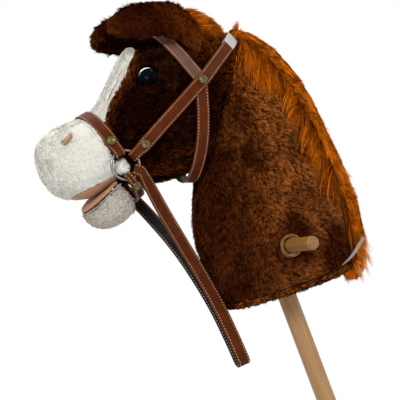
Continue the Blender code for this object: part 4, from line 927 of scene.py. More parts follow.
def strap(node, inside, dress, body=HORSE):
    """A leatherette strap over its CAD solid; gives back the rows of its corners, along which its stitches are
    placed.
    """
    rows = outward(strap_rows(node), inside)
    rows = eased(rows)
    bm = swept([strap_section(row) for row in rows], OUTER_RIMS + (1.0, 0.3, 0.0, 0.3, 1.0))
    middles = [sum(row, Vector()) / 4 for row in rows]
    tree = KDTree(len(rows))
    for n, spot in enumerate(middles):
        tree.insert(spot, n)
    tree.balance()
    for f in bm.faces:
        spot = f.calc_center_median()
        row = rows[tree.find(spot)[1]]
        out = (row[0] + row[1] - row[2] - row[3]).normalized()
        f.material_index = 1 if f.normal.dot(out) < -0.6 else 0
    # The browband takes the leatherette with a painted sheen, paler where its gloss catches the light.
    outside = painted_sheen_leather(dress) if node == "browband" else leather(dress)
    piece(bm, node + "_leather", [outside, leather_lining()], body=body, stands_for=(node,),
          slot="leatherette")
    return rows


class HorseLooks(bpy.types.PropertyGroup):
    """Sizes and colours of the plush, the bridle, the wood and the metal."""

    pile_long: length("Pile length", 0.0085, "Length of the brown pile on the neck")
    face_long: length("Face pile length", 0.0065, "Length of the pile on the head")
    white_long: length("White pile length", 0.0055, "Length of the white pile on the muzzle")
    neck_hairs: count("Neck hairs", 120000, "Hairs tried on each side of the neck")
    head_hairs: count("Head hairs", 100000, "Hairs tried on the head")
    mane_hairs: count("Mane hairs", 11000, "Hairs in each half of the mane")
    pile_root: colour("Pile root", (0.022, 0.0035, 0.0005), "Brown pile near the cloth")
    pile_tip: colour("Pile tip", (0.430, 0.130, 0.0260), "Brown pile at its ends")
    pile_patch: colour("Pile patch", (0.070, 0.0135, 0.0018), "Brown pile brushed the other way")
    # Painted shade of the brown pile: down the front of the neck, low at its back and round the peg. It also
    # darkens the base panel's pile evenly.
    pile_dark: colour("Pile in the dark", (0.036, 0.0068, 0.0020), "Brown pile down the front of the neck")
    face_root: colour("Face root", (0.0045, 0.0009, 0.0005), "Face pile near the cloth")
    face_tip: colour("Face tip", (0.024, 0.0050, 0.0022), "Face pile at its ends")
    face_patch: colour("Face patch", (0.060, 0.0170, 0.0050), "Face pile brushed the other way")
    # The pile's own tone between the ears. The face and ear pile also take it as painted highlight along the
    # blaze's edge, on the lower cheeks and at the ears' tips.
    poll: colour("Poll", (0.150, 0.0340, 0.0045), "Pile between the ears and the crown")
    ear_root: colour("Ear root", (0.0095, 0.0016, 0.0006), "Ear pile near the cloth")
    ear_tip: colour("Ear tip", (0.066, 0.0125, 0.0036), "Ear pile at its ends")
    mane_root: colour("Mane root", (0.27, 0.054, 0.0017), "Mane near the crest")
    mane_tip: colour("Mane tip", (0.70, 0.175, 0.0075), "Mane at its ends")
    mane_streak: colour("Mane streak", (0.11, 0.020, 0.0010), "Darker locks of the mane")
    # Lighter ends, partly their own tone and partly painted light where the mane's end lies in shade.
    mane_straw: colour("Mane straw", (0.80, 0.42, 0.16), "Lighter ends of the mane's loose strands")
    mane_shade: colour("Mane in the shade", (0.20, 0.040, 0.0020), "Loose locks over the neck")
    white_root: colour("White root", (0.90, 0.88, 0.80), "White pile near the cloth")
    white_tip: colour("White tip", (0.93, 0.92, 0.85), "White pile at its ends")
    white_shade: colour("White shade", (0.80, 0.76, 0.67), "White pile where it is matted")
    white_dark: colour("White in the shade", (0.42, 0.36, 0.30), "White pile of the jaw")
    peach: colour("Peach cloth", (0.58, 0.290, 0.140), "Lining of the mouth and the nostrils")
    leather: colour("Leatherette", (0.110, 0.0235, 0.0042), "Straps and reins")
    leather_deep: colour("Leatherette shade", (0.080, 0.0155, 0.0028), "Straps in the creases")
    leather_rubbed: colour("Leatherette rim", (0.145, 0.036, 0.009), "Straps along their rubbed rims")
    # A painted sheen: the browband's colour painted pale where its gloss catches the light.
    leather_painted_sheen: colour("Leatherette painted sheen", (0.175, 0.083, 0.055), "Browband painted pale where its gloss catches the light")
    thread: colour("Thread", (0.84, 0.60, 0.40), "Stitches")
    stitch_long: length("Stitch", 0.0022, "Length of a stitch")
    stitch_gap: length("Stitch gap", 0.0014, "Distance between stitches")
    stitch_in: length("Stitch line", 0.0019, "Distance of the stitches from the strap's rim")
    timber: colour("Timber", (0.43, 0.235, 0.094), "Stick")
    timber_streak: colour("Timber streak", (0.33, 0.172, 0.062), "Grain of the stick")
    peg_timber: colour("Peg timber", (0.30, 0.136, 0.028), "Peg")
    peg_streak: colour("Peg streak", (0.20, 0.085, 0.015), "Grain of the peg")
    steel: colour("Steel", (0.24, 0.24, 0.235), "Bit rings")
    brass: colour("Brass", (0.15, 0.130, 0.045), "Rivets where rubbed")
    brass_dark: colour("Brass tarnish", (0.042, 0.036, 0.011), "Rivets in their hollows")
    lamp: FloatProperty(name="Lamp", description="Strength of the soft lamps", min=0, default=0.73)


STRAPS = (
    "noseband", "cheek_strap_left", "cheek_strap_right", "browband", "throat_lash", "chin_strap",
    "reins", "crown_elastic",
)
RIVETS = (
    "nose_rivet_left", "nose_rivet_right", "cheek_rivet_left", "cheek_rivet_right",
    "chin_rivet_left", "chin_rivet_right", "junction_rivet_left", "junction_rivet_right",
)
# A rivet's section: shares of its radius, with depths below its top and heights above its foot.
RIVET_CAP = (
    (0.0, 0.0007), (0.42, 0.0006), (0.62, 0.0001), (0.76, 0.0), (0.90, 0.0002), (1.0, 0.0008),
    (0.98, 0.0012), (0.4, 0.0013),
)
RIVET_FOOT = ((0.4, 0.0006), (0.8, 0.0005), (0.78, 0.0001), (0.0, 0.0))
HEAD_MIDDLE = Vector((-0.085, 0.0, NECK_BASE + 0.262))
# Half width of the white stripe down the forehead, by its place along x, and its lowest height.
STRIPE_X = (-0.156, -0.146, -0.131, -0.113, -0.100, -0.084, -0.076)
STRIPE_HALF = (0.0330, 0.0310, 0.0245, 0.0258, 0.0280, 0.0245, 0.0200)
STRIPE_LOW = NECK_BASE + 0.245


def beside_blaze(p):
    """How far a place on the head lies outside the white stripe. Inside it is negative."""
    if p.z < STRIPE_LOW or not STRIPE_X[0] - 0.006 < p.x < STRIPE_X[-1]:
        return 1.0
    return abs(p.y) - float(np.interp(p.x, STRIPE_X, STRIPE_HALF))


def down_face(p):
    return Vector((-0.7, 0.6 * p.y / 0.02, -0.9))


def looks(context):
    return context.scene.horse_looks


class DressNeck(bpy.types.Operator):
    """Neck cover and base panel in long brown pile"""

    bl_idname = "horse.neck"
    bl_label = "Neck"

    def execute(self, context):
        dress = looks(context)
        straps = tree_of(*STRAPS, "handle_peg", "peg_binding_left", "peg_binding_right", "stick")
        covers = tree_of("stuffing", "head_cover", "mane_backing", "base_panel")
        filling = tree_of("stuffing")
        edging = tree_of("peg_binding_left", "peg_binding_right")
        neck = cloth("neck_cover", "neck_plush", neck_backing(dress), "plush", PILE_DEPTH, (filling, edging),
                     rumple=(0.0006, 0.018))

        def down(p):
            front = max(0.0, min(1.0, (0.02 - p.x) / 0.08))
            return Vector((0.55 - 0.75 * front, 0.0, -1.0))

        # Painted shade: the pile darkens down the front of the neck under the head, low at its back near the
        # base, and round the peg's hole. The noise patches are plain tone.
        def shade(p):
            z = p.z - NECK_BASE
            front = smooth_step(0.030, -0.055, p.x - 0.10 * (z - 0.12))
            low = smooth_step(0.012, 0.045, p.x) * smooth_step(0.085, 0.050, z)
            hollow = 0.8 * smooth_step(0.046, 0.022, math.hypot(p.x, z - PEG_RISE))
            patches = 0.5 * smooth_step(0.05, 0.45, noise.noise(p / 0.035))
            return min(0.95, max(front, low, hollow) * 0.9 + patches)

        reins = tree_of("reins")

        def room(p):
            """Leaves room for the reins to swing."""
            near = reins.find_nearest(p, REINS_ROOM[1])[3]
            return 1.0 if near is None else SHORT_PILE + (1.0 - SHORT_PILE) * smooth_step(*REINS_ROOM, near)

        def growth(p):
            front = smooth_step(-0.055, -0.075, p.x) * smooth_step(0.17, 0.13, p.z - NECK_BASE)
            return room(p) * (1.0 + 0.5 * front)

        for sign, name in ((-1, "left"), (1, "right")):
            grown(f"neck_pile_{name}", joined("neck_cover"), dress.neck_hairs, dress.pile_long, down,
                  *pile(dress, "brown pile"), straps, covers, seed=11 + sign, mess=1.3, shade=shade, tuft=10,
                  gather=0.42, tumble=0.9, growth=growth, floor=lambda p: underside(p, BAND_HEIGHT),
                  wanted=lambda c, sign=sign: float(c.y * sign >= 0.0))
        cloth("base_panel", "base_plush", neck_backing(dress), "plush", BASE_PILE_DEPTH, (filling,))

        def outwards(p):
            return Vector((p.x * 4, p.y * 4, -0.2))

        def off_seam(c):
            return float(underside(c, BAND_HEIGHT) - c.z > SEAM_CLEAR)

        grown("base_pile", joined("base_panel"), BASE_HAIRS, BASE_LONG, outwards, *pile(dress, "brown pile"),
              straps, tree_of("stuffing", "neck_cover", "stick"), wide=BASE_WIDE, seed=21, lift=0.4, lie=0.15,
              mess=0.9, floor=lambda p: underside(p, -BASE_FRINGE), wanted=off_seam, shade=lambda p: 0.45,
              growth=lambda p: room(p) ** 2)
        return {"FINISHED"}


class DressHead(bpy.types.Operator):
    """Head cover, the blaze and the filling under them"""

    bl_idname = "horse.head"
    bl_label = "Head"

    def execute(self, context):
        dress = looks(context)
        straps = tree_of(*STRAPS, "eye_left", "eye_right")
        covers = tree_of("stuffing", "neck_cover", "muzzle", "blaze", "ear_left", "ear_right",
                         "lower_jaw", "eye_left", "eye_right")
        filling = tree_of("stuffing")
        backings = [plush_backing(dress), white_backing(dress)]
        head = cloth("head_cover", "head_plush", backings, "plush", PILE_DEPTH, (filling,),
                     rumple=(0.0004, 0.015))
        for side in head.data.polygons:
            side.material_index = int(beside_blaze(side.center) < 0.0)

        def back(p):
            return Vector((1.0, 0.0, 0.25 + 4.0 * (p.z - NECK_BASE - 0.27)))

        # How much of the poll colour the head pile takes. At the crown it is the pile's own tone. Along the
        # blaze's edge it gives orange hairs over the white, partly real and partly a painted rim highlight. Low
        # on the cheeks it gives painted highlight patches.
        def poll(p):
            z = p.z - NECK_BASE
            crown = smooth_step(-0.040, 0.010, p.x + 0.4 * (z - 0.32))
            fringe_and_painted_rim_highlight = smooth_step(0.012, 0.001, beside_blaze(p)) * (0.7 + 0.6 * noise.noise(p / 0.008))
            painted_jowl_highlight = 0.5 * smooth_step(0.225, 0.195, z) * (0.6 + noise.noise(p / 0.012))
            return max(0.0, min(1.0, crown * (0.75 + 0.5 * noise.noise(p / 0.02)) + fringe_and_painted_rim_highlight + max(0.0, painted_jowl_highlight)))

        def ragged(p):
            return beside_blaze(p) > 0.0012 * noise.noise(p / 0.003)

        grown("head_pile", joined("head_cover"), dress.head_hairs, dress.face_long, back,
              *pile(dress, "face pile"), straps, covers, seed=31, lift=0.45, lie=0.2, mess=0.8, tuft=8,
              gather=0.5, tumble=0.8, shade=poll, only=ragged)
        grown("blaze_edge_pile", joined("head_cover"), BLAZE_EDGE_HAIRS, BLAZE_LONG, down_face,
              *pile(dress, "white pile"), straps, covers, seed=42, lift=0.35, lie=0.15, mess=0.45, gather=0.3,
              wanted=lambda c: float(beside_blaze(c) < 0.008), only=lambda p: not ragged(p))
        # Painted shade: the filling's fibre is white, but is painted brown-grey as it would look in the dark
        # inside the covers.
        fibre = finish_of("fibre", "Cloth nap", bump=0.5, bump_depth=0.002, Color=(0.16, 0.12, 0.09),
                          Shade=(0.10, 0.07, 0.05), sockets={"Specular IOR Level": 0.02})
        cloth("stuffing", "fibre_filling", fibre, "fibre")
        cloth("blaze", "blaze_plush", white_backing(dress), "white_plush", THIN_PILE_DEPTH, (filling,))
        grown("blaze_pile", joined("blaze"), BLAZE_HAIRS, BLAZE_LONG, down_face, *pile(dress, "white pile"),
              straps, tree_of("stuffing", "head_cover", "muzzle"), seed=41, lift=0.35, lie=0.15, mess=0.45,
              gather=0.3, sink=THIN_PILE_DEPTH)
        return {"FINISHED"}


class DressMuzzle(bpy.types.Operator):
    """White muzzle and jaw with their peach linings"""

    bl_idname = "horse.muzzle"
    bl_label = "Muzzle"

    def execute(self, context):
        dress = looks(context)
        straps = tree_of(*STRAPS)
        peach = finish_of("peach velour", "Cloth nap", bump=0.5, bump_depth=0.0006, Color=dress.peach,
                          Shade=[c * 0.78 for c in dress.peach], sockets={"Sheen Weight": 0.2})

        def trim(p):
            upper = smooth_step(0.235, 0.262, p.z - NECK_BASE) * smooth_step(-0.150, -0.190, p.x)
            lower = smooth_step(0.235, 0.215, p.z - NECK_BASE) * smooth_step(-0.195, -0.215, p.x)
            return 1.0 - 0.55 * upper + 0.55 * lower

        linings = ("muzzle_lip", "jaw_lining", "nostril_left", "nostril_right")
        inside = tree_of("stuffing", "head_cover", *linings)
        for node, number, long, seed, shadow in (
            ("muzzle", MUZZLE_HAIRS, dress.white_long, 51, 0.0),
            ("lower_jaw", JAW_HAIRS, JAW_LONG, 52, 0.75),
        ):
            made = cloth(node, node + "_plush", white_backing(dress), "white_plush", WHITE_PILE_DEPTH,
                         relax=(1, 0.3), rumple=(0.0009, 0.013, 2.0))
            grown(node + "_pile", joined(node), number, long, lambda p: Vector((0.5, 0.0, -0.6)),
                  *pile(dress, "white pile"), straps, inside, seed=seed, lift=0.4, lie=0.15, mess=0.7,
                  gather=0.35, tuft=8, sink=WHITE_PILE_DEPTH, growth=trim,
                  shade=lambda p, shadow=shadow: shadow)
        for sign, name in ((-1, "left"), (1, "right")):
            corner = bmesh.new()
            bmesh.ops.create_icosphere(corner, subdivisions=4, radius=1.0)
            bmesh.ops.scale(corner, verts=corner.verts[:], vec=CORNER_HALF)
            place = Vector(CORNER_PLACE) * Vector((1, sign, 1))
            bmesh.ops.translate(corner, verts=corner.verts[:], vec=place)
            rumpled(corner, 0.0020, 0.007)
            form = corner.copy()
            piece(corner, f"mouth_corner_{name}", white_backing(dress), slot="white_plush")
            grown(f"mouth_corner_pile_{name}", form, CORNER_HAIRS, CORNER_LONG,
                  lambda p: Vector((0.3, 0.0, -0.6)), *pile(dress, "white pile"), straps, straps,
                  wide=FINE_HAIR, seed=55 + sign, lift=0.5, lie=0.35, mess=0.9, gather=0.6,
                  sink=CORNER_PILE_DEPTH)
        for node in linings:
            cloth(node, node + "_cloth", peach, "peach_cloth", rumple=(0.0004, 0.006))
        return {"FINISHED"}


class DressEars(bpy.types.Operator):
    """Ears in brown pile with a dark short nap inside"""

    bl_idname = "horse.ears"
    bl_label = "Ears"

    def execute(self, context):
        dress = looks(context)
        nap = finish_of("dark nap", "Cloth nap", bump=0.5, bump_depth=0.0006, Color=(0.012, 0.0034, 0.0012),
                        Shade=(0.006, 0.0018, 0.0007), sockets=MATT)

        def ragged(p):
            top = smooth_step(0.355, 0.372, p.z - NECK_BASE) * smooth_step(-0.030, -0.050, p.x)
            tip = smooth_step(-0.090, -0.102, p.x)
            return max(0.35, 1.0 + 0.55 * top - 0.9 * tip + 0.9 * noise.noise(p / 0.007))

        # The ear's back takes the poll colour so that it runs into the poll. Its tip takes half of it as a
        # painted highlight on its lit lower edge.
        def shade(p):
            return max(0.9 * smooth_step(-0.050, -0.005, p.x), 0.5 * smooth_step(-0.084, -0.100, p.x))

        for side, seed in (("left", 61), ("right", 62)):
            cloth(f"ear_{side}", f"ear_{side}_plush", plush_backing(dress), "plush", THIN_PILE_DEPTH)
            grown(f"ear_{side}_pile", joined(f"ear_{side}"), EAR_HAIRS, EAR_LONG,
                  lambda p: Vector((-1.0, 0.0, -0.25)), *pile(dress, "ear pile"), tree_of("browband"),
                  tree_of(f"ear_lining_{side}", "head_cover"), seed=seed, lift=0.45, lie=0.2, mess=1.1, tuft=15,
                  gather=0.75, sink=THIN_PILE_DEPTH, growth=ragged, shade=shade)
            cloth(f"ear_lining_{side}", f"ear_lining_{side}_nap", nap, "dark_nap")
        return {"FINISHED"}


def mane_frame(t):
    """The mane's middle, depth axis, half depth and half width at a share of its length."""
    at = max(0.0, min(1.0, t)) * (len(MANE_LINE) - 1)
    n = min(int(at), len(MANE_LINE) - 2)
    share = at - n
    around = (MANE_LINE[max(0, min(n + k, len(MANE_LINE) - 1))] for k in (-1, 0, 1, 2))
    x, z, lean, deep, half = (
        b + (c - a) * share / 2 + (a * 2 - b * 5 + c * 4 - d) * share**2 / 2
        + (b * 3 - a - c * 3 + d) * share**3 / 2
        for a, b, c, d in zip(*around)
    )
    lean = math.radians(lean)
    return Vector((x, 0.0, NECK_BASE + z)), Vector((math.cos(lean), 0.0, math.sin(lean))), deep, half


class DressMane(bpy.types.Operator):
    """Long orange mane down the crest, and the forelock between the ears"""

    bl_idname = "horse.mane"
    bl_label = "Mane"

    def execute(self, context):
        dress = looks(context)
        under = finish_of("mane underlayer", "Cloth nap", bump=1.0, bump_depth=0.002, Color=dress.mane_root,
                          Shade=dress.mane_streak, sockets=MATT)
        cloth("mane", "mane_core", under, "mane_pile", rumple=(0.0015, 0.012))
        for half, seed in ((0, 71), (1, 72)):
            self.locks(f"mane_pile_{half}", dress, seed)
        straps = tree_of(*STRAPS)
        grown("mane_fuzz", joined("mane"), FUZZ_HAIRS, FUZZ_LONG, lambda p: Vector((0.35, 0.0, -1.0)),
              *pile(dress, "mane pile"), straps, tree_of("neck_cover", "head_cover", "mane_backing"),
              wide=FINE_HAIR, seed=76, lift=0.30, lie=0.12, mess=0.8, levels=4, tumble=0.8, gather=0.5,
              sink=0.0)
        self.side_locks(dress, straps)
        self.tufts("mane_tufts", TUFTS[:CROWN_TUFTS], pile(dress, "mane pile"))
        self.tufts("mane_ends", TUFTS[CROWN_TUFTS:], pile(dress, "mane ends"))
        cloth("forelock", "forelock_core", under, "mane_pile")
        grown("forelock_pile", joined("forelock"), FORELOCK_HAIRS, FORELOCK_LONG,
              lambda p: Vector((1.0, 0.0, -0.50)), *pile(dress, "mane pile"), straps,
              tree_of("head_cover", "ear_left", "ear_right"), seed=73, lift=0.42, lie=0.08, mess=0.5, levels=5,
              tumble=0.8, shade=lambda p: 0.35)
        return {"FINISHED"}

    def locks(self, name, dress, seed):
        rng = np.random.default_rng(seed)
        number, levels = dress.mane_hairs, 9
        groups = MANE_LOCKS
        group = rng.integers(0, groups, number)
        starts = rng.uniform(-0.03, 0.80, groups)[group] + rng.normal(0, 0.010, number)
        spans = rng.uniform(0.12, 0.28, groups)[group] * rng.uniform(0.8, 1.15, number)
        angle = rng.uniform(-MANE_SPAN, MANE_SPAN, groups)[group] + rng.normal(0, 0.16, number)
        reach = rng.uniform(0.78, 0.99, groups)[group] + rng.normal(0, 0.03, number)
        flare = rng.uniform(-0.06, 0.10, groups)[group]
        sway = rng.normal(0, 0.5, groups)[group]
        tone = 0.7 * rng.random(groups)[group] + 0.3 * rng.random(number)
        # Locks that reach the mane's end are lighter, partly their own tone and partly painted light on ends
        # that lie in the lamps' shade.
        tone = np.minimum(1.1, tone + 0.35 * np.clip((starts + spans - 0.85) * 8.0, 0.0, 1.0))
        paths = np.zeros((number, levels, 3))
        across = np.zeros((number, 3))
        side = Vector((0, 1, 0))
        for n in range(number):
            for k in range(levels):
                s = k / (levels - 1)
                along = starts[n] + spans[n] * s
                spot, deep_way, deep, half = mane_frame(along)
                past = max(0.0, along - 1.0) * 0.15
                grow = reach[n] * (0.55 + 0.45 * min(1.0, 3.0 * s)) + flare[n] * s * s
                turn = angle[n] + sway[n] * s * s
                place = spot + deep_way * deep * grow * math.cos(turn) + side * half * grow * math.sin(turn)
                place += Vector((-0.02, 0, -0.28)) * past
                paths[n, k] = place + noise.noise_vector(place / 0.016 + side * group[n]) * 0.0028 * s
            out = deep_way * math.cos(angle[n]) + side * math.sin(angle[n])
            run = Vector(paths[n, -1] - paths[n, 0])
            across[n] = run.cross(out).normalized()
        across += rng.normal(0, 0.5, across.shape)
        across /= np.linalg.norm(across, axis=1)[:, None]
        width = MANE_WIDTH * rng.uniform(0.7, 1.3, number)
        hairs(name, paths, across, width, tone, *pile(dress, "mane pile"))

    def side_locks(self, dress, straps):
        """Locks that fall from the crest forward over the sides of the neck."""
        rng = np.random.default_rng(74)
        skin = tree_of("neck_cover")
        steps = 8
        paths, across, tone = [], [], []
        for low, high, locks, first, last, shortest, longest in SIDE_LOCKS:
            for lock in range(locks):
                side = (-1.0, 1.0)[lock % 2]
                mirror = Vector((1.0, side, 1.0))
                spot, deep_way, deep, half = mane_frame(rng.uniform(low, high))
                root = spot - deep_way * deep * rng.uniform(0.1, 0.7) + Vector((0, side * half * 0.85, 0))
                bend = Vector(rng.normal(0, 0.22, 3))
                start, end = (Vector(way) * mirror + bend for way in (first, last))
                long = rng.uniform(shortest, longest)
                root_high = rng.uniform(*ROOT_HIGH)
                lock_tone = rng.random()
                for _ in range(LOCK_HAIRS):
                    at = root + Vector(rng.normal(0, 0.0034, 3))
                    stray = Vector(rng.normal(0, 0.13, 3))
                    reach = long * rng.uniform(0.75, 1.1)
                    line = []
                    for k in range(steps + 1):
                        near, normal, _, _ = skin.find_nearest(at)
                        at = near + normal * (root_high + (TIP_HIGH - root_high) * k / steps)
                        line.append(at[:])
                        way = start.lerp(end, (k + 0.5) / steps).normalized() + stray
                        at = at + (way - normal * way.dot(normal)).normalized() * reach / steps
                    if any(straps.find_nearest(Vector(p), BESIDE_STRAP)[0] is not None for p in line):
                        continue
                    paths.append(line)
                    run = Vector(line[-1]) - Vector(line[0])
                    flat = run.cross(normal).normalized()
                    across.append((flat + normal * rng.normal(0, 0.5)).normalized()[:])
                    tone.append(0.6 * lock_tone + 0.4 * rng.random())
        width = HAIR_WIDTH * rng.uniform(0.7, 1.2, len(paths))
        tone = np.array(tone)
        hairs("mane_side_locks", np.array(paths), np.array(across), width, tone, *pile(dress, "mane pile"),
              shade=np.clip(1.2 - 1.1 * tone, 0.0, 1.0))

    def tufts(self, name, tufts, finish):
        """Pointed tufts at the crown, along the back and at the mane's end."""
        rng = np.random.default_rng(75)
        share = np.linspace(0.0, 1.0, 6)[:, None]
        paths, across, tone = [], [], []
        for root, tip, number in tufts:
            root = np.array(root) + (0, 0, NECK_BASE)
            tip = np.array(tip) + (0, 0, NECK_BASE)
            for _ in range(number):
                start = root + rng.normal(0, 0.0030, 3)
                end = tip + rng.normal(0, 0.0016, 3) + (root - tip) * rng.uniform(0, 0.5)
                bow = (start + end) / 2 + rng.normal(0, 0.0012, 3) + (0.0015, 0, 0)
                paths.append(start * (1 - share) ** 2 + bow * 2 * share * (1 - share) + end * share**2)
                across.append(np.cross(end - start, rng.normal(0, 1, 3)))
                tone.append(rng.random())
        across = np.array(across)
        across /= np.linalg.norm(across, axis=1)[:, None]
        width = TUFT_WIDTH * rng.uniform(0.7, 1.2, len(paths))
        hairs(name, np.array(paths), across, width, np.array(tone), *finish)


class DressBridle(bpy.types.Operator):
    """Stitched straps, reins and the elastic over the poll"""

    bl_idname = "horse.bridle"
    bl_label = "Bridle"

    def execute(self, context):
        dress = looks(context)
        places = []
        for node in STRAPS:
            if node in ("reins", "crown_elastic"):
                continue
            inside = HEAD_MIDDLE if node != "chin_strap" else Vector((-0.15, 0.0, NECK_BASE + 0.215))
            places += stitch_places(strap(node, inside, dress), dress)
        stamped("bridle_stitches", dress, places, HORSE)
        rows = strap("reins", Vector((-0.10, 0.0, NECK_BASE + 0.10)), dress, body="reins")
        stamped("rein_stitches", dress, stitch_places(rows, dress), "reins")
        white = finish_of("white elastic", "Weave", bump=0.6, bump_depth=0.0004, Color=(0.80, 0.78, 0.74),
                          Shade=(0.55, 0.53, 0.50), Threads=420.0, sockets={"Roughness": 0.8})
        cloth("crown_elastic", "crown_elastic_weave", white, "elastic", smooth=False)
        woven = finish_of("woven tape", "Weave", bump=0.6, bump_depth=0.0004, Color=(0.50, 0.43, 0.36),
                          Shade=(0.30, 0.24, 0.19), Threads=420.0, sockets={"Roughness": 0.85})
        cloth("mane_backing", "mane_tape", woven, "woven_tape", smooth=False)
        self.tape_end(woven)
        return {"FINISHED"}

    def tape_end(self, woven):
        """The loose end of the mane's tape, which comes out from under the mane at the base."""
        line = [Vector((x, y, NECK_BASE + z)) for x, y, z in TAPE_END]
        bm = bmesh.new()
        rows = []
        for n, spot in enumerate(line):
            run = (line[min(n + 1, len(line) - 1)] - line[max(n - 1, 0)]).normalized()
            out = Vector((0.45, -0.88, -0.10)).normalized()
            wide = run.cross(out).normalized() * TAPE_END_HALF_WIDTH * (0.15 + 0.85 * min(1.0, n / 4.0))
            rows.append([bm.verts.new(spot + w + o) for w, o in
                         ((-wide, out * 0), (wide, out * 0), (wide, out * 0.0006), (-wide, out * 0.0006))])
        for first, second in zip(rows, rows[1:]):
            for i in range(4):
                j = (i + 1) % 4
                bm.faces.new((first[i], first[j], second[j], second[i]))
        bm.faces.new(rows[0])
        bm.faces.new(rows[-1])
        bmesh.ops.recalc_face_normals(bm, faces=bm.faces[:])
        piece(bm, "mane_tape_end", woven, slot="woven_tape", smooth=False)


class DressMetal(bpy.types.Operator):
    """Bit rings, rivets, eyes and their washers"""

    bl_idname = "horse.metal"
    bl_label = "Metal and eyes"

    def execute(self, context):
        dress = looks(context)
        steel = finish_of("bit steel", "Metal patina", bump=0.1, bump_depth=0.0001, Bright=dress.steel,
                          Dark=(0.13, 0.125, 0.12), Tarnish=0.6, sockets={"Metallic": 1.0})
        for side in ("left", "right"):
            low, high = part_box(f"bit_ring_{side}")
            middle = (low + high) / 2
            wire = (high.y - low.y) / 2
            radius = (high.z - low.z) / 2 - wire
            bm = bmesh.new()
            bmesh.ops.create_circle(bm, segments=14, radius=wire)
            bmesh.ops.translate(bm, verts=bm.verts[:], vec=(radius, 0, 0))
            bmesh.ops.spin(bm, geom=bm.verts[:] + bm.edges[:], cent=(0, 0, 0), axis=(0, 1, 0), angle=math.tau,
                           steps=56, use_merge=True)
            bmesh.ops.remove_doubles(bm, verts=bm.verts[:], dist=WELD)
            bmesh.ops.recalc_face_normals(bm, faces=bm.faces[:])
            bmesh.ops.translate(bm, verts=bm.verts[:], vec=middle)
            node = f"bit_ring_{side}"
            piece(bm, node + "_steel", steel, body=node, stands_for=(node,), slot="steel")
        brass = finish_of("antique brass", "Metal patina", bump=0.2, bump_depth=0.0001, Bright=dress.brass,
                          Dark=dress.brass_dark, Tarnish=0.9, sockets={"Metallic": 0.85})
        for node in RIVETS:
            middle, axis, low, top, wide = main_axis(node)
            profile = [(wide * share, top - drop) for share, drop in RIVET_CAP]
            profile += [(wide * share, low + rise) for share, rise in RIVET_FOOT]
            piece(turned(profile, middle, axis, 28), node + "_brass", brass, stands_for=(node,),
                  slot="antique_brass")
        self.eyes()
        clear = finish_of("washer plastic", "Cloth nap", bump=0.1, Color=(0.75, 0.75, 0.74),
                          Shade=(0.6, 0.6, 0.6))
        for side in ("left", "right"):
            cad(f"eye_washer_{side}").data.materials.clear()
            cad(f"eye_washer_{side}").data.materials.append(clear)
        return {"FINISHED"}

    def eyes(self):
        eye_low, eye_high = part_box("eye_left")
        black = bpy.data.materials.new("eye")
        black.use_nodes = True
        tree = black.node_tree
        shader = tree.nodes["Principled BSDF"]
        shader.inputs["Specular IOR Level"].default_value = 0.02
        # Painted highlight: a coat with a raised IOR, laid only on an arc over the top of the dome, stands for
        # the lamps' reflection.
        shader.inputs["Coat IOR"].default_value = 2.6
        rim = attribute(tree, "rim")
        place = add(tree, "ShaderNodeSeparateXYZ")
        tree.links.new(add(tree, "ShaderNodeTexCoord").outputs["Object"], place.inputs[0])
        middle_z = (eye_low.z + eye_high.z) / 2
        upper = ranged(tree, place.outputs["Z"], middle_z + GLINT[0], middle_z + GLINT[1])
        glint_band = maths(tree, "MULTIPLY", ranged(tree, rim, 0.52, 0.62), ranged(tree, rim, 0.72, 0.82, 1.0, 0.0))
        tree.links.new(maths(tree, "MULTIPLY", upper, glint_band), shader.inputs["Coat Weight"])
        inner = mixed(tree, ranged(tree, rim, 0.30, 0.55), EYE_CENTRE, EYE_MIDDLE)
        outer = mixed(tree, ranged(tree, rim, 0.70, 0.95), inner, EYE_RIM)
        tree.links.new(outer, shader.inputs["Base Color"])
        gloss = ranged(tree, noisy(tree, 0.001, 3.0), 0.3, 0.8, 0.03, 0.07)
        tree.links.new(gloss, shader.inputs["Roughness"])
        for side in ("left", "right"):
            dome = joined(f"eye_{side}")
            washer = joined(f"eye_washer_{side}")
            middle = middle_of(dome)
            axis = (middle - middle_of(washer)).normalized()
            low, top, wide = extents(dome, middle, axis)
            dome.free()
            washer.free()
            base = top - EYE_HIGH
            angles = np.linspace(0, math.pi / 2, 14)
            profile = [(wide * math.sin(a), base + EYE_HIGH * math.cos(a)) for a in angles]
            profile[0] = (0.0, top)
            profile += [(wide * 0.98, base - 0.0006), (EYE_SHANK, base - 0.0008)]
            profile += [(EYE_SHANK, low), (0.0, low)]
            piece(turned(profile, middle, axis, 48), f"eye_{side}_dome", black, stands_for=(f"eye_{side}",),
                  slot="eye_plastic")


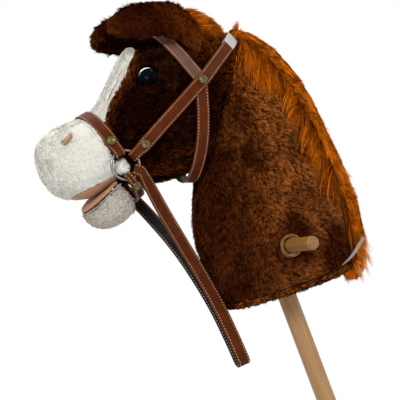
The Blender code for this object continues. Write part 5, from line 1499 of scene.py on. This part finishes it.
class DressWood(bpy.types.Operator):
    """Wooden stick and peg, and the bound edges of the peg's holes"""

    bl_idname = "horse.wood"
    bl_label = "Wood"

    def execute(self, context):
        dress = looks(context)
        low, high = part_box("stick")
        radius = (high.x - low.x) / 2
        long = high.z - low.z
        grain = finish_of("turned timber", "Timber grain", bump=0.15, bump_depth=0.0003, Pale=dress.timber,
                          Streak=dress.timber_streak, Across=0.0)
        rim, near = STICK_ROUND, STICK_NEAR_RIM
        profile = [(0.0, 0.0), (radius - rim, 0.0), (radius - near, near), (radius, rim)]
        profile += [(radius, rim + (long - 2 * rim) * n / 12) for n in range(1, 13)]
        profile += [(radius - near, long - near), (radius - rim, long), (0.0, long)]
        foot = Vector(((low.x + high.x) / 2, (low.y + high.y) / 2, low.z))
        piece(turned(profile, foot, Vector((0, 0, 1)), 48), "stick_timber", grain, stands_for=("stick",),
              slot="wood")
        low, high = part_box("handle_peg")
        radius = (high.x - low.x) / 2
        half = (high.y - low.y) / 2
        cross = finish_of("peg timber", "Timber grain", bump=0.15, bump_depth=0.0003, Pale=dress.peg_timber,
                          Streak=dress.peg_streak, Across=1.0)
        profile = [(0.0, half - 0.0003), (radius * 0.5, half)]
        profile += [(radius - PEG_ROUND + PEG_ROUND * math.sin(a), half - PEG_ROUND + PEG_ROUND * math.cos(a))
                    for a in np.linspace(0, math.pi / 2, 5)]
        profile += [(r, -h) for r, h in reversed(profile)]
        piece(turned(profile, (low + high) / 2, Vector((0, 1, 0)), 40), "peg_timber", cross,
              stands_for=("handle_peg",), slot="wood")
        bound = finish_of("bound edge", "Weave", bump=0.6, bump_depth=0.0004, Color=(0.42, 0.19, 0.045),
                          Shade=(0.22, 0.085, 0.02), Threads=320.0, sockets={"Roughness": 0.8, **MATT})
        for side in ("left", "right"):
            node = f"peg_binding_{side}"
            cloth(node, node + "_cloth", bound, "binding", relax=(1,), rumple=(0.0006, 0.004))
        return {"FINISHED"}


class SetStage(bpy.types.Operator):
    """Floor, backdrop, lamps and the camera at the photograph's angle"""

    bl_idname = "horse.stage"
    bl_label = "Stage"

    def execute(self, context):
        self.floor()
        self.world(context)
        for name, place, size, power, tint in (
            ("key", (-1.3, -2.0, 2.2), 1.1, 62.0, (1.0, 0.985, 0.96)),
            ("fill", (1.8, -1.6, 1.2), 1.8, 26.0, (0.96, 0.98, 1.0)),
            ("top", (0.2, 0.6, 2.6), 1.6, 30.0, (1.0, 1.0, 1.0)),
        ):
            lamp = bpy.data.lights.new(name, "AREA")
            lamp.shape = "DISK"
            lamp.size = size
            lamp.energy = power * looks(context).lamp
            lamp.color = tint
            stand = bpy.data.objects.new(name, lamp)
            stand.location = place
            aim = Vector((0.0, 0.0, 0.75)) - Vector(place)
            stand.rotation_euler = aim.to_track_quat("-Z", "Y").to_euler()
            context.scene.collection.objects.link(stand)
        self.camera(context)
        return {"FINISHED"}

    def floor(self):
        bm = bmesh.new()
        bmesh.ops.create_circle(bm, segments=64, radius=14.0, cap_ends=True)
        mesh = bpy.data.meshes.new("floor")
        bm.to_mesh(mesh)
        bm.free()
        paint = bpy.data.materials.new("pale floor")
        paint.use_nodes = True
        tree = paint.node_tree
        shader = tree.nodes["Principled BSDF"]
        shader.inputs["Base Color"].default_value = (0.86, 0.86, 0.86, 1.0)
        shader.inputs["Roughness"].default_value = 0.9
        white = add(tree, "ShaderNodeEmission", Color=(1, 1, 1, 1), Strength=1.0)
        at = add(tree, "ShaderNodeTexCoord").outputs["Object"]
        away = add(tree, "ShaderNodeVectorMath", operation="LENGTH")
        tree.links.new(at, away.inputs[0])
        far = ranged(tree, away.outputs["Value"], 0.35, 1.6)
        share = maths(tree, "MULTIPLY", far, seen_directly(tree))
        blend = add(tree, "ShaderNodeMixShader")
        tree.links.new(share, blend.inputs[0])
        tree.links.new(shader.outputs[0], blend.inputs[1])
        tree.links.new(white.outputs[0], blend.inputs[2])
        tree.links.new(blend.outputs[0], tree.nodes["Material Output"].inputs["Surface"])
        mesh.materials.append(paint)
        ground = bpy.data.objects.new("floor", mesh)
        bpy.context.scene.collection.objects.link(ground)

    def world(self, context):
        sky = bpy.data.worlds.new("studio")
        context.scene.world = sky
        sky.use_nodes = True
        tree = sky.node_tree
        back = tree.nodes["Background"]
        tone = mixed(tree, seen_directly(tree), (0.26, 0.26, 0.265), (1.0, 1.0, 1.0))
        tree.links.new(tone, back.inputs["Color"])
        back.inputs["Strength"].default_value = 1.0

    def camera(self, context):
        turn, tilt, roll = math.radians(21.0), math.radians(3.0), math.radians(20.8)
        away, frame_wide, sensor = 1.45, 0.464, 36.0
        aim = Vector((-0.060, 0.0, NECK_BASE + 0.150))
        look = Vector((math.sin(turn) * math.cos(tilt), math.cos(turn) * math.cos(tilt), -math.sin(tilt)))
        right = Vector((math.cos(turn), -math.sin(turn), 0.0))
        over = right.cross(look)
        across = right * math.cos(roll) - over * math.sin(roll)
        above = right * math.sin(roll) + over * math.cos(roll)
        lens = bpy.data.cameras.new("camera")
        lens.sensor_width = sensor
        lens.lens = sensor * away / frame_wide
        eye = bpy.data.objects.new("camera", lens)
        turned_to = Matrix((across, above, -look)).transposed().to_4x4()
        eye.matrix_world = Matrix.Translation(aim - look * away) @ turned_to
        context.scene.collection.objects.link(eye)
        context.scene.camera = eye


class HORSE_PT_looks(bpy.types.Panel):
    """Sizes, colours and the steps that dress the horse"""

    bl_label = "Hobby horse"
    bl_space_type = "VIEW_3D"
    bl_region_type = "UI"
    bl_category = "Hobby horse"

    def draw(self, context):
        for operator in OPERATORS:
            self.layout.operator(operator.bl_idname)
        for name in HorseLooks.__annotations__:
            self.layout.prop(looks(context), name)


OPERATORS = (
    DressNeck, DressHead, DressMuzzle, DressEars, DressMane, DressBridle, DressMetal, DressWood, SetStage,
)
CLASSES = (HorseLooks, *OPERATORS, HORSE_PT_looks)


def register():
    for made in CLASSES:
        bpy.utils.register_class(made)
    bpy.types.Scene.horse_looks = PointerProperty(type=HorseLooks)


def unregister():
    del bpy.types.Scene.horse_looks
    for made in reversed(CLASSES):
        bpy.utils.unregister_class(made)


def main():
    noise.seed_set(NOISE_SEED)
    register()
    bpy.context.scene.view_settings.view_transform = "Standard"
    for operator in OPERATORS:
        group, name = operator.bl_idname.split(".")
        getattr(getattr(bpy.ops, group), name)()


if __name__ == "__main__":
    main()
